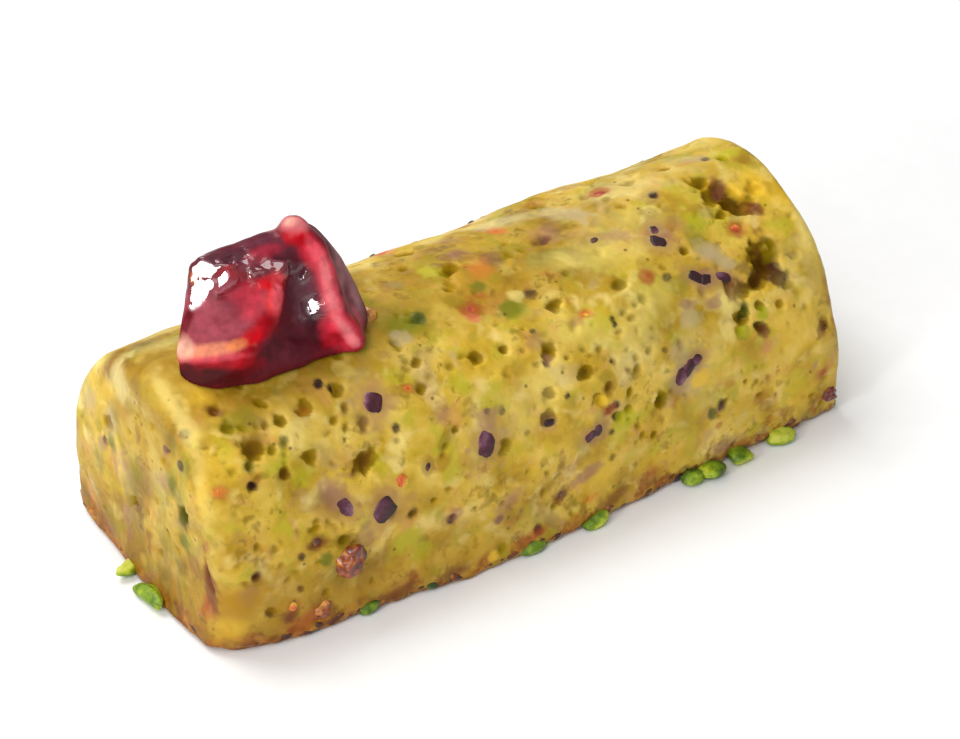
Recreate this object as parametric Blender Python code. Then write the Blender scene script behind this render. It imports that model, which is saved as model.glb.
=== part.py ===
# Pistachio and raspberry yule log: a small baked loaf with a folded piece of glazed fruit on its crest.
# Lengths are millimetres in the design below, and metres once a mesh is made.
# +X runs along the loaf to its far end, -Y is the front and +Z is up; the origin is the middle of the base.

import math
import random

import bmesh
import bpy
import numpy as np
from mathutils import Euler, Matrix, Vector

METRES = 0.001
SEED = 25

# The loaf: upright walls under an elliptical dome
LENGTH = 100.0
WIDTH = 44.0
HEIGHT = 32.8
WALL = 9.0
NARROWING = 0.07
END_RISE = 0.025
NEAR_LEAN = 0.03
FAR_LEAN = 0.06
NEAR_CORNER = 3.2
FAR_CORNER = 1.5
BASE_CORNER = 1.5
SWELL = 0.35
SWELL_WAVE = 17.0
FRONT_BULGE = 0.9
FRONT_BULGE_X = -13.0
FRONT_BULGE_REACH = 10.0

# Facets of the loaf
FACET = 2.7
BASE_FACETS = 6
CORNER_FACETS = 2
CAP_RINGS = 3

# Pores in the crumb
PORE_RISE = 0.12
PORES_SCATTERED = 30
PORE_SMALLEST = 1.7
PORE_LARGEST = 3.0

# Chopped nuts along the foot of the loaf
NUTS_SCATTERED = 26
NUT_SMALLEST = 2.4
NUT_LARGEST = 4.6
NUT_CORNERS = 11

# The fruit piece: its gap over the loaf, the ball it is drawn from, its softness, ribs to a fold
# and the share of its faces that is kept
FRUIT_GAP = 0.3
FRUIT_MIDDLE = Vector((-30.8, 1.2, 36.2))
FRUIT_REACH = 21.0
FRUIT_BLEND = 0.35
FRUIT_RIBS = 26
FRUIT_SHARE = 0.43


def srgb(red, green, blue):
    """Linear colour of an 8-bit screen colour."""
    shares = [channel / 255.0 for channel in (red, green, blue)]
    return [s / 12.92 if s <= 0.04045 else ((s + 0.055) / 1.055) ** 2.4 for s in shares] + [1.0]


def plain_material(name, colour, roughness):
    material = bpy.data.materials.new(name)
    material.use_nodes = True
    shader = material.node_tree.nodes["Principled BSDF"]
    shader.inputs["Base Color"].default_value = colour
    shader.inputs["Roughness"].default_value = roughness
    shader.inputs["Metallic"].default_value = 0.0
    material.diffuse_color = colour
    return material


def crumb_material():
    return plain_material("pistachio_crumb", srgb(200, 170, 80), 0.6)


def glazed_fruit_material():
    return plain_material("glazed_fruit", srgb(150, 24, 44), 0.12)


def add_object(name, bm, material):
    """The object of a finished bmesh, in metres and shaded smooth."""
    bm.normal_update()
    bmesh.ops.recalc_face_normals(bm, faces=bm.faces)
    mesh = bpy.data.meshes.new(name)
    bm.to_mesh(mesh)
    bm.free()
    mesh.transform(Matrix.Scale(METRES, 4))
    mesh.materials.append(material)
    mesh.shade_smooth()
    mesh.set_sharp_from_angle(angle=math.radians(40))
    made = bpy.data.objects.new(name, mesh)
    bpy.context.scene.collection.objects.link(made)
    return made


# Surface of the loaf

def swell(points, wave, seed, waves=7):
    """Smooth unevenness of about one either way: a few plane waves in seeded directions."""
    draw = np.random.default_rng(seed)
    total = np.zeros(len(points))
    for _ in range(waves):
        direction = draw.normal(size=3)
        direction *= 2 * math.pi / (wave * draw.uniform(0.7, 1.4) * np.linalg.norm(direction))
        total += np.sin(points @ direction + draw.uniform(0, 2 * math.pi))
    return total / math.sqrt(waves)


def half_width(x):
    return WIDTH / 2 * (1 - NARROWING * (2 * x / LENGTH) ** 2)


def rise(x):
    return 1 + END_RISE * (2 * x / LENGTH) ** 2


def skin(x, turn):
    """Point and outward direction on the side; turn is degrees up from the front, 90 at the crest."""
    angle = math.radians(turn)
    half, lift = half_width(x), rise(x)
    dome = (HEIGHT - WALL) * lift
    if 0 <= turn <= 180:
        reach = 1 / math.hypot(math.cos(angle) / half, math.sin(angle) / dome)
        across, up = -reach * math.cos(angle), reach * math.sin(angle)
        outward = Vector((0, across / half ** 2, up / dome ** 2)).normalized()
    else:
        side = 1 if math.cos(angle) > 0 else -1
        across, up = -side * half, half * abs(math.tan(angle)) * -1
        outward = Vector((0, -side, 0))
    place = Vector((x, across, WALL * lift + up))
    lump = SWELL * float(swell(np.array([place]), SWELL_WAVE, SEED)[0])
    return place + outward * lump, outward


def height_above_loaf(points):
    """About how far points stand off the dome, its swell included."""
    share = 2 * points[:, 0] / LENGTH
    across = points[:, 1] / (WIDTH / 2 * (1 - NARROWING * share ** 2))
    up = (points[:, 2] / (1 + END_RISE * share ** 2) - WALL) / (HEIGHT - WALL)
    return (np.hypot(across, up) - 1) * (HEIGHT - WALL) - SWELL * swell(points, SWELL_WAVE, SEED)


def outline():
    """Cross-section of the loaf, anticlockwise from the middle of the base: (across, height) pairs."""
    half = WIDTH / 2
    dome = HEIGHT - WALL
    flat = half - BASE_CORNER
    base = [(flat * i / (BASE_FACETS / 2), 0.0) for i in range(BASE_FACETS // 2 + 1)]
    corner = []
    for i in range(1, CORNER_FACETS + 1):
        angle = math.radians(-90 + 90 * i / CORNER_FACETS)
        corner.append((flat + BASE_CORNER * math.cos(angle), BASE_CORNER * (1 + math.sin(angle))))
    wall_steps = round((WALL - BASE_CORNER) / FACET)
    wall = [(half, BASE_CORNER + (WALL - BASE_CORNER) * i / wall_steps) for i in range(1, wall_steps + 1)]
    dome_steps = round(math.pi * (half + dome) / 4 / FACET)
    arc = []
    for i in range(1, dome_steps + 1):
        angle = math.pi / 2 * i / dome_steps
        arc.append((half * math.cos(angle), WALL + dome * math.sin(angle)))
    side = base + corner + wall + arc
    return side + [(-u, z) for u, z in reversed(side[1:-1])]


def ring(section, end, corner, lean, step):
    """One ring of the loaf; step runs from 0 at the end face to 1 where its rounded corner ends."""
    angle = step * math.pi / 2
    inset = corner * (1 - math.sin(angle))
    back = corner * (1 - math.cos(angle))
    x = end * (LENGTH / 2 - back)
    points = []
    for across, height in section:
        crest = max(0.0, (height - WALL) / (HEIGHT - WALL))
        z = (height - inset * crest) * rise(x)
        if height < BASE_CORNER:
            z += min(inset, BASE_CORNER) * 0.5 * (1 - height / BASE_CORNER)
        y = (across - inset * across / (WIDTH / 2)) * half_width(x) / (WIDTH / 2)
        points.append(Vector((x - end * lean * z, y, z)))
    return points


def middle_ring(section, x):
    """A ring between the two rounded ends; the ends' lean fades in towards them."""
    near = max(0.0, -2 * x / LENGTH)
    far = max(0.0, 2 * x / LENGTH)
    points = []
    for across, height in section:
        z = height * rise(x)
        shift = NEAR_LEAN * near * z - FAR_LEAN * far * z
        points.append(Vector((x + shift, across * half_width(x) / (WIDTH / 2), z)))
    return points


def loaf_mesh():
    """The plain loaf without pores, closed, with its low swells."""
    section = outline()
    rings = [ring(section, -1, NEAR_CORNER, NEAR_LEAN, step) for step in (0, 0.33, 0.66)]
    start = -LENGTH / 2 + NEAR_CORNER
    stop = LENGTH / 2 - FAR_CORNER
    steps = round((stop - start) / FACET)
    rings += [middle_ring(section, start + (stop - start) * i / steps) for i in range(steps + 1)]
    rings += [ring(section, 1, FAR_CORNER, FAR_LEAN, step) for step in (0.5, 0)]
    bm = bmesh.new()
    rows = [[bm.verts.new(point) for point in points] for points in rings]
    count = len(section)
    for left, right in zip(rows, rows[1:]):
        for i in range(count):
            j = (i + 1) % count
            bm.faces.new((left[i], left[j], right[j], right[i]))
    for row, end in ((rows[0], -1), (rows[-1], 1)):
        close_end(bm, row, end)
    swell_loaf(bm)
    return bm


def close_end(bm, row, end):
    """An end face of rings that shrink to its middle."""
    middle = sum((vert.co for vert in row), Vector()) / len(row)
    outer = row
    for step in range(1, CAP_RINGS + 1):
        share = 1 - step / (CAP_RINGS + 1)
        inner = [bm.verts.new(middle.lerp(vert.co, share)) for vert in row]
        for i in range(len(row)):
            j = (i + 1) % len(row)
            bm.faces.new((outer[i], outer[j], inner[j], inner[i]))
        outer = inner
    hub = bm.verts.new(middle)
    for i in range(len(row)):
        bm.faces.new((outer[i], outer[(i + 1) % len(row)], hub))


def swell_loaf(bm):
    """Moves the skin in and out a little, and pushes the front foot out; the flat base stays flat."""
    bmesh.ops.recalc_face_normals(bm, faces=bm.faces)
    bm.normal_update()
    verts = list(bm.verts)
    places = np.array([vert.co for vert in verts])
    lift = SWELL * swell(places, SWELL_WAVE, SEED)
    for vert, amount in zip(verts, lift):
        free = min(1.0, max(0.0, (vert.co.z - 0.5) / 2.5))
        foot = max(0.0, 1 - vert.co.z / 6.0) if vert.co.y < -WIDTH / 4 else 0.0
        away = (vert.co.x - FRONT_BULGE_X) / FRONT_BULGE_REACH
        vert.co += vert.normal * float(amount) * free
        vert.co.y -= FRONT_BULGE * foot * math.exp(-away ** 2)


# Pores and hollows in the crumb

# Pores of the front by place along the loaf, turn up from the front and width
FRONT_PORES = (
    (-43, 68, 1.8), (-41, 51, 3.3), (-38, 41, 2.6), (-36, 57, 2.5), (-34, 43, 2.4), (-32, 58, 2.5),
    (-27, 60, 2.2), (-27, 35, 3.1), (-16, 51, 1.8), (-7, 54, 2.6), (-7, 23, 2.0), (-3, 53, 2.0),
    (0, 26, 2.8), (1, 34, 2.2), (3, 47, 2.8), (7, 36, 2.6), (7, 61, 2.4), (8, 26, 2.2),
    (15, 30, 1.8), (17, 59, 2.4), (18, 15, 2.8),
)

# Ragged hollows near the far end, each a cluster of bubbles
HOLLOWS = (
    (37.0, 84, 3.0), (37.4, 77, 3.6), (38.8, 72, 3.4), (41.5, 71, 2.8), (43.2, 74, 2.6),
    (38.6, 53, 3.0), (39.0, 47, 3.6), (37.4, 43, 3.4), (34.6, 42, 2.6),
    (33.1, 33, 3.0), (36.3, 35, 2.4),
)

# Pores of the end faces: which end, its lean, place across, height and width
END_PORES = (
    (-1, NEAR_LEAN, 2, 12, 2.0), (-1, NEAR_LEAN, -11, 18, 2.2), (-1, NEAR_LEAN, 8, 21, 2.4),
    (1, FAR_LEAN, -9, 14, 2.4), (1, FAR_LEAN, 4, 21, 2.8), (1, FAR_LEAN, 11, 10, 2.2),
)


def under_fruit(x, turn):
    """Whether a place on the crest lies under the fruit piece or at its edge."""
    return abs(x - FRUIT_MIDDLE.x) < FRUIT_REACH - 3 and abs(turn - 90) < 30


def bubble(name, centre, width, stretch, tilt):
    """A low ball that is cut out of the crumb."""
    bm = bmesh.new()
    bmesh.ops.create_icosphere(bm, subdivisions=2, radius=width / 2)
    turned = Euler(tilt).to_matrix().to_4x4()
    bm.transform(Matrix.Translation(centre) @ turned @ Matrix.Diagonal((stretch, 1, 1, 1)))
    return add_object(name, bm, bpy.data.materials["pistachio_crumb"])


def pore_places(draw):
    """Seen pores and hollows, then seeded ones over the back, the crest and the end faces."""
    for x, turn, width in FRONT_PORES + HOLLOWS:
        place, outward = skin(x, turn)
        yield place, outward, width
    taken = []
    while len(taken) < PORES_SCATTERED:
        x, turn = draw.uniform(-44, 45), draw.uniform(78, 196)
        width = draw.uniform(PORE_SMALLEST, PORE_LARGEST)
        place, outward = skin(x, turn)
        crowded = any((place - other).length < 6.0 for other in taken)
        if crowded or under_fruit(x, turn) or (x > 30 and turn < 95):
            continue
        taken.append(place)
        yield place, outward, width
    for end, lean, y, z, width in END_PORES:
        yield Vector((end * (LENGTH / 2 - lean * z), y, z)), Vector((end, 0, 0)), width


def cut_pores(loaf):
    draw = random.Random(SEED)
    bubbles = bpy.data.collections.new("bubbles")
    bpy.context.scene.collection.children.link(bubbles)
    for i, (place, outward, width) in enumerate(list(pore_places(draw))):
        tilt = [draw.uniform(0, 2 * math.pi) for _ in range(3)]
        centre = place + outward * width * PORE_RISE
        ball = bubble(f"bubble_{i}", centre, width, draw.uniform(1.0, 1.35), tilt)
        bpy.context.scene.collection.objects.unlink(ball)
        bubbles.objects.link(ball)
    combine(loaf, bubbles, "DIFFERENCE")


def combine(target, collection, operation):
    """Applies one Boolean with all of a collection's objects, and removes them."""
    boolean = target.modifiers.new("combine", "BOOLEAN")
    boolean.operand_type = "COLLECTION"
    boolean.collection = collection
    boolean.operation = operation
    boolean.solver = "EXACT"
    graph = bpy.context.evaluated_depsgraph_get()
    mesh = bpy.data.meshes.new_from_object(target.evaluated_get(graph))
    target.modifiers.clear()
    target.data = mesh
    for piece in list(collection.objects):
        bpy.data.objects.remove(piece)
    bpy.data.collections.remove(collection)


# Nuts and chunks fused to the loaf

# Seen nut bits at the foot: place along or across, how far they stand out, length and breadth
FRONT_NUTS = (
    (-29, 0.6, 3.0, 2.2), (-20, 0.7, 2.8, 2.0), (-4, 1.0, 5.0, 3.0), (6, 1.5, 4.0, 3.2),
    (22.5, 1.3, 3.4, 2.8), (25.5, 2.0, 4.6, 3.8), (31, 1.9, 4.0, 3.6), (38.5, 1.7, 5.0, 3.6),
)
NEAR_NUTS = ((2.5, 2.2, 3.2, 4.2), (-4, 2.6, 3.8, 4.8))

# Chunks that stand proud: place along the loaf, turn up from the front, width and how far out
CHUNKS = (
    (-31, 2, 5.2, 0.8), (-23, 25, 2.0, 0.5), (47.4, -14, 2.6, 0.6), (-17, 82, 2.8, 0.2), (-36, -15, 3.6, 0.4),
)


def shard(name, centre, size, tilt, draw):
    """An irregular chip: the hull of a few points inside an ellipsoid, kept above the base plane."""
    bm = bmesh.new()
    for i in range(NUT_CORNERS):
        height = 1 - 2 * (i + 0.5) / NUT_CORNERS
        spread = math.sqrt(1 - height ** 2) * draw.uniform(0.75, 1.0)
        angle = i * math.pi * (3 - math.sqrt(5)) + draw.uniform(-0.4, 0.4)
        bm.verts.new((spread * math.cos(angle), spread * math.sin(angle), height * draw.uniform(0.75, 1.0)))
    bmesh.ops.convex_hull(bm, input=bm.verts)
    half = Matrix.Diagonal((size[0] / 2, size[1] / 2, size[2] / 2, 1))
    bm.transform(Matrix.Translation(centre) @ Euler(tilt).to_matrix().to_4x4() @ half)
    lowest = min(vert.co.z for vert in bm.verts)
    if lowest < 0.15:
        bm.transform(Matrix.Translation((0, 0, 0.15 - lowest)))
    return add_object(name, bm, bpy.data.materials["pistachio_crumb"])


def nut_places(draw):
    """Centre, heading, length and breadth of each nut: the seen ones, then seeded ones round the back."""
    for x, proud, length, breadth in FRONT_NUTS:
        yield Vector((x, -half_width(x) - proud + breadth / 2, 1.0)), 0.0, length, breadth
    for y, proud, length, breadth in NEAR_NUTS:
        yield Vector((-LENGTH / 2 - proud + breadth / 2, y, 1.1)), math.pi / 2, length, breadth
    for i in range(NUTS_SCATTERED):
        length = draw.uniform(NUT_SMALLEST, NUT_LARGEST)
        breadth = length * draw.uniform(0.6, 0.8)
        out = draw.uniform(0.1, 0.55) * breadth - breadth / 2
        height = draw.uniform(0.8, 1.5)
        along = (i + draw.uniform(0.2, 0.8)) / NUTS_SCATTERED * (LENGTH + 1.4 * WIDTH)
        if along < WIDTH * 0.9:
            yield Vector((LENGTH / 2 + out, along - WIDTH * 0.45, height)), math.pi / 2, length, breadth
        elif along < WIDTH + LENGTH:
            x = 0.95 * (LENGTH / 2 - along + WIDTH)
            yield Vector((x, half_width(x) + out, height)), 0.0, length, breadth
        else:
            y = WIDTH * 1.4 + LENGTH - along
            yield Vector((-LENGTH / 2 - out, y, height)), math.pi / 2, length, breadth


def fuse_bits(loaf):
    draw = random.Random(SEED + 1)
    bits = bpy.data.collections.new("bits")
    bpy.context.scene.collection.children.link(bits)
    shards = []
    for place, heading, length, breadth in list(nut_places(draw)):
        size = (length, breadth, min(2.2, length * draw.uniform(0.45, 0.65)))
        tilt = (draw.uniform(-0.2, 0.2), draw.uniform(-0.2, 0.2), heading + draw.uniform(-0.4, 0.4))
        shards.append((place, size, tilt))
    for x, turn, width, out in CHUNKS:
        place, outward = skin(x, turn)
        centre = place + outward * (out - width * 0.25)
        tilt = (draw.uniform(0, 3), draw.uniform(0, 3), draw.uniform(0, 3))
        shards.append((centre, (width, width * 0.8, width * 0.8), tilt))
    for i, (place, size, tilt) in enumerate(shards):
        bit = shard(f"bit_{i}", place, size, tilt, draw)
        bpy.context.scene.collection.objects.unlink(bit)
        bits.objects.link(bit)
    combine(loaf, bits, "UNION")


def drop_scraps(loaf):
    """Keeps the largest joined body of a mesh, without scraps that a Boolean left loose."""
    bm = bmesh.new()
    bm.from_mesh(loaf.data)
    waiting = set(bm.verts)
    bodies = []
    while waiting:
        body = {waiting.pop()}
        edge_of_body = set(body)
        while edge_of_body:
            reached = {edge.other_vert(vert) for vert in edge_of_body for edge in vert.link_edges}
            edge_of_body = reached - body
            body |= edge_of_body
        waiting -= body
        bodies.append(body)
    bodies.sort(key=len)
    for body in bodies[:-1]:
        bmesh.ops.delete(bm, geom=list(body), context="VERTS")
    bm.to_mesh(loaf.data)
    bm.free()


def cake_body():
    loaf = add_object("cake_body", loaf_mesh(), bpy.data.materials["pistachio_crumb"])
    cut_pores(loaf)
    fuse_bits(loaf)
    drop_scraps(loaf)
    loaf.data.shade_smooth()
    loaf.data.set_sharp_from_angle(angle=math.radians(40))
    return loaf


# The folded fruit piece, by the places that the edges of its folds pass through
CREST = ((-38.4, 0.8, 43.9), (-35.0, 1.2, 43.9), (-30.4, 1.0, 44.0), (-27.6, 0.6, 44.4))
KNOB = (-25.8, 0.2, 46.2)
FIN = (KNOB, (-24.2, -1.4, 44.0), (-23.7, -3.0, 41.0), (-23.6, -5.0, 37.6), (-23.0, -6.6, 34.4), (-21.9, -7.6, 32.4))
SHOULDER = ((-24.0, 1.6, 43.6), (-21.6, 0.4, 39.4), (-20.6, -1.4, 35.8), (-20.6, -4.4, 33.0))
LEFT_EDGE = (CREST[0], (-39.5, 0.2, 41.0), (-41.2, -1.4, 38.4), (-43.3, -3.4, 36.0))
LIP = (LEFT_EDGE[-1], (-42.2, -5.0, 35.6), (-39.8, -6.2, 35.8), (-37.4, -6.4, 36.4), (-35.2, -6.0, 37.6))
MIDDLE_FOLD = (LIP[-1], (-33.4, -5.0, 39.2), (-32.0, -3.8, 41.2), (-31.6, -1.6, 43.4))
FOOT = ((-43.2, -3.6, 33.4), (-40.8, -5.4, 33.0), (-36.0, -6.4, 32.6), (-29.6, -6.6, 32.6), (-24.0, -6.8, 32.0))
VALLEY = ((-29.2, 0.2, 43.2), (-28.2, -1.0, 40.4), (-27.6, -2.3, 37.0), (-27.2, -4.4, 34.0))
POCKET = ((-40.2, -1.0, 38.4), (-37.4, -1.5, 39.0), (-34.4, -1.8, 40.2))
BACK = ((-36.6, 3.4, 38.0), (-34.0, 4.8, 39.4), (-29.0, 4.4, 38.8), (-24.6, 3.8, 37.6))
BACK_FOOT = ((-41.2, -0.6, 33.2), (-36.0, 4.4, 32.8), (-30.6, 6.2, 32.4), (-24.0, 5.6, 32.4), (-20.6, 0.6, 33.2))
BODY = ((-37.2, 0.2, 36.4), (-32.0, 0.6, 36.8), (-25.8, 0.6, 36.6))


def to_segment(points, start, end):
    """Distance from points to a straight piece, and how far along it the nearest place lies."""
    start, end = np.array(start), np.array(end)
    along = end - start
    share = np.clip((points - start) @ along / max(along @ along, 1e-9), 0, 1)
    return np.linalg.norm(points - start - share[:, None] * along, axis=1), share


def chain(points, places, first, last):
    """Distances to a bent rod whose radius runs from first to last, one column a piece."""
    columns = []
    pieces = len(places) - 1
    for i in range(pieces):
        away, share = to_segment(points, places[i], places[i + 1])
        columns.append(away - first - (last - first) * (i + share) / pieces)
    return columns


def web(points, upper, lower, radius):
    """Distances to a skin of even thickness that spans two edges, one column a rib."""
    columns = []
    for i in range(FRUIT_RIBS + 1):
        start = along_places(upper, i / FRUIT_RIBS)
        stop = along_places(lower, i / FRUIT_RIBS)
        columns.append(to_segment(points, start, stop)[0] - radius)
    return columns


def along_places(places, share):
    """The place a share of the way along a bent edge."""
    step = share * (len(places) - 1)
    i = min(int(step), len(places) - 2)
    return np.array(places[i]) * (1 - step + i) + np.array(places[i + 1]) * (step - i)


def fruit_distance(points):
    """Smooth union of the fruit's folds."""
    columns = chain(points, BODY, 3.2, 3.4)
    columns += chain(points, CREST, 1.0, 1.0)
    columns += chain(points, (CREST[-1], KNOB), 1.0, 1.9)
    columns += chain(points, FIN, 1.6, 1.2)
    columns += chain(points, SHOULDER, 1.2, 1.5)
    columns += chain(points, LEFT_EDGE, 1.0, 1.0)
    columns += chain(points, LIP, 1.1, 1.0)
    columns += chain(points, MIDDLE_FOLD, 1.2, 1.4)
    columns += chain(points, VALLEY, 1.2, 1.2)
    columns += chain(points, BACK, 1.6, 1.6)
    columns += chain(points, FOOT, 1.3, 1.2)
    columns += chain(points, BACK_FOOT, 1.4, 1.4)
    columns += web(points, CREST, BODY, 1.6)
    columns += web(points, FIN, VALLEY, 0.8)
    columns += web(points, VALLEY, MIDDLE_FOLD[::-1], 0.9)
    columns += chain(points, POCKET, 1.5, 1.5)
    columns += web(points, POCKET, CREST[:3], 1.1)
    columns += web(points, POCKET, LIP, 1.0)
    columns += web(points, FIN, SHOULDER, 1.0)
    columns += web(points, LIP, FOOT[:4], 1.2)
    columns += web(points, MIDDLE_FOLD, (FOOT[2], BODY[1]), 1.2)
    columns += web(points, BACK, BODY, 2.0)
    columns += web(points, BACK, CREST, 1.3)
    columns += web(points, BACK, BACK_FOOT[1:4], 1.4)
    columns += web(points, SHOULDER, BODY[1:], 2.0)
    columns += web(points, LEFT_EDGE, (BODY[0], BACK_FOOT[0]), 1.2)
    stack = np.array(columns)
    nearest = stack.min(axis=0)
    return nearest - FRUIT_BLEND * np.log(np.exp((nearest - stack) / FRUIT_BLEND).sum(axis=0))


def fruit_piece():
    """A ball of directions, each drawn in from outside until it meets the folds or the gap over the loaf."""
    bm = bmesh.new()
    bmesh.ops.create_icosphere(bm, subdivisions=5, radius=1.0)
    directions = np.array([vert.co for vert in bm.verts])
    middle = np.array(FRUIT_MIDDLE)
    reach = np.full(len(directions), FRUIT_REACH)
    for _ in range(60):
        points = middle + directions * reach[:, None]
        outside = np.maximum(fruit_distance(points), FRUIT_GAP - height_above_loaf(points))
        reach -= np.clip(outside * 0.6, -0.3, 1.0)
    for vert, direction, length in zip(bm.verts, directions, reach):
        vert.co = Vector(middle + direction * length)
    fruit = add_object("raspberry_topping", bm, bpy.data.materials["glazed_fruit"])
    fewer = fruit.modifiers.new("fewer", "DECIMATE")
    fewer.ratio = FRUIT_SHARE
    return fruit


def clear_scene():
    for old in list(bpy.data.objects):
        bpy.data.objects.remove(old)


def main():
    clear_scene()
    crumb_material()
    glazed_fruit_material()
    cake_body()
    fruit_piece()


main()
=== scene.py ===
# Looks of the pistachio and raspberry yule log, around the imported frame.
# Lengths are millimetres in the design below, and metres once a mesh is made.
# +X runs along the loaf to its far end, -Y is the front and +Z is up.

import math
import random

import bmesh
import bpy
import numpy as np
from mathutils import Euler, Matrix, Vector, noise
from mathutils.bvhtree import BVHTree
from mathutils.kdtree import KDTree


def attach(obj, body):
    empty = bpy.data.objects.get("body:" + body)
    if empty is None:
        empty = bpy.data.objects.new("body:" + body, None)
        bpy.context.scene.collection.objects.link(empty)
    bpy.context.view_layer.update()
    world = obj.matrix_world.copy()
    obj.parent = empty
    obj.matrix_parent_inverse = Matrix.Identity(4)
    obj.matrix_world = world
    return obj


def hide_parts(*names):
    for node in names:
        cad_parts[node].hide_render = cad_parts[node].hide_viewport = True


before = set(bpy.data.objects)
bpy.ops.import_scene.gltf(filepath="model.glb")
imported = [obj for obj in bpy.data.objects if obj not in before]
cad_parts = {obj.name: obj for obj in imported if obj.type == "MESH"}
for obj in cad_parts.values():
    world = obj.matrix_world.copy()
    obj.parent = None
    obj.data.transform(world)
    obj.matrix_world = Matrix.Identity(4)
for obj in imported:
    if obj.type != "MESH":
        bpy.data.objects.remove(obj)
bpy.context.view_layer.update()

METRES = 0.001
SEED = 25

# The photo's camera: image size and focal length in pixels, place, and angles in degrees
PHOTO_WIDTH, PHOTO_HEIGHT = 960, 739
FOCAL_PIXELS = 3075.0
CAMERA_PLACE = Vector((-186.2, -283.5, 260.6))
CAMERA_AZIMUTH, CAMERA_ELEVATION, CAMERA_ROLL = -33.65, 35.97, 0.23
SENSOR = 36.0

# Studio lights: the wide one above, the key, and the small bright window that glints on the glaze
WORLD_LIGHT = 0.40
OVERHEAD_PLACE, OVERHEAD_SIZE, OVERHEAD_WATTS = Vector((-120, 330, 620)), (500, 400), 3.55
KEY_PLACE, KEY_SIZE, KEY_WATTS = Vector((-340, -260, 520)), (420, 420), 1.55
WINDOW_PLACE, WINDOW_SIZE, WINDOW_WATTS = Vector((-425, -145, 212)), (80, 85), 0.62
LOAF_AIM, FRUIT_AIM = Vector((0, 0, 15)), Vector((-30, 0, 40))
FLOOR_REACH, FLOOR_DROP = 4000.0, 0.05

# The loaf: upright walls under an elliptical dome
LENGTH, WIDTH, HEIGHT, WALL = 100.0, 44.0, 32.8, 9.0
NARROWING, END_RISE = 0.07, 0.025
NEAR_LEAN, FAR_LEAN = 0.03, 0.06
NEAR_CORNER, FAR_CORNER, BASE_CORNER = 3.2, 1.5, 1.5
SWELL, SWELL_WAVE = 0.35, 17.0
FRONT_BULGE, FRONT_BULGE_X, FRONT_BULGE_REACH, FRONT_BULGE_TOP = 0.9, -13.0, 10.0, 6.0

# The swell comes in above the base from this height, and over this rise
FREE_FROM, FREE_OVER = 0.5, 2.5

# Soft pushes of the plain loaf to its uneven form: place, reach and movement
PUSHES = (
    ((-3, 0, 33), (20, 14, 10), (0, 0, -0.7)), ((-50, -22, 0), (6, 6, 9), (1.2, 1.2, 0)),
    ((-50, 8, 14), (6, 14, 12), (-0.6, 0, 0)), ((-12, -22, 1), (16, 6, 3), (0, -0.5, 0)),
    ((6, 2, 33), (16, 12, 8), (0, 0, -0.6)), ((-50, -8, 0), (6, 15, 4), (-1, 0, 0)),
    ((3, -22, 0), (13, 6, 3), (0, -0.8, 0)), ((-36, -22, 0), (5, 6, 4), (0, -0.6, 0)),
    ((20, 2, 33), (13, 12, 8), (0, 0, -0.6)), ((-50, 16, 18), (6, 12, 16), (-0.5, 0, 0)),
)

# Mesh steps of the loaf: along it, round its seen side, its back and its base, and rings across its ends
STEP_ALONG, STEP_SEEN, STEP_BACK, STEP_BASE = 0.35, 0.34, 0.55, 1.6
SEEN_FROM = 7.0
NEAR_RINGS, FAR_RINGS = 36, 22
NEAR_CORNER_RINGS, FAR_CORNER_RINGS = 10, 5
OUTLINE_SAMPLES = 200

# What lies lower counts as the base, and no bit reaches lower
BASE_LEVEL = 0.02

# The darker strip along the crest: the turn in degrees where it begins, over how many, and its ragged edge
CREST_FROM, CREST_SOFT, CREST_RAGGED = 60.0, 10.0, 5.0

# How squarely the skin faces along the loaf where it counts as a cut end, and over how much that comes in
END_FACING, END_SOFT = 0.6, 0.3

# Roughness of the skin: ripple, fine grain and broad waves, crags of the crust at the foot and in deep pits
RIPPLE, GRAIN, WAVES, WAVE_LENGTH = 0.14, 0.035, 0.14, 6.5
CRUST_HEIGHT, CRUST_CRAGS, CRUST_WAVE, CRUST_GRAIN = 3.2, 0.45, 2.1, 0.2
PIT_CRAGS, PIT_CRAGS_FROM = 0.34, 0.5

# Pores: depth for each millimetre of width, and the seeded ones' number, widths, spacing and spans
PORE_DEPTH, SMALL_PIT_DEPTH, PATCH_PIT_DEPTH, FINE_PORE_DEPTH = 0.38, 0.42, 0.32, 0.24
PORES_SCATTERED, PORE_WIDTHS, PORE_SPACING = 30, (1.7, 3.0), 6.0
PORE_SPAN, PORE_TURNS = (-44, 45), (78, 196)
FINE_PORES, FINE_SMALLEST, FINE_LARGEST, FINE_CROWDING = 260, 0.8, 1.8, 2.2

# Where seeded marks lie: places along the loaf, turns up from the front in degrees, lowest height and slants
LOAF_SPAN, LOAF_TURNS, BACK_TURNS = (-47, 47), (-20, 200), (128, 200)
LOWEST_MARK, ANY_SLANT = 1.5, (0, 180)

# Nuts and toasted crumbs at the foot
NUTS_SCATTERED, NUT_LENGTHS, NUT_THICKEST = 26, (2.4, 4.6), 2.2
CRUST_BITS, CRUST_SMALLEST, CRUST_LARGEST, CRUST_TOP, CRUST_LOWEST = 560, 0.6, 1.9, 2.6, 0.3

# The fruit piece, and how far its points move at each try as they are drawn in to its folds
FRUIT_GAP, FRUIT_BLEND, FRUIT_RIBS, FRUIT_REACH, FRUIT_EDGE = 0.3, 0.35, 26, 21.0, 0.42
FRUIT_MIDDLE = np.array((-30.8, 1.2, 36.2))
MEET_TRIES, MEET_SHARE, MEET_BACK, MEET_FORWARD, MEET_NEAR = 30, 0.75, 0.3, 2.0, 0.01


def rgb(red, green, blue):
    """Linear colour of an 8-bit screen colour."""
    shares = [channel / 255.0 for channel in (red, green, blue)]
    return tuple(s / 12.92 if s <= 0.04045 else ((s + 0.055) / 1.055) ** 2.4 for s in shares)


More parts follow.
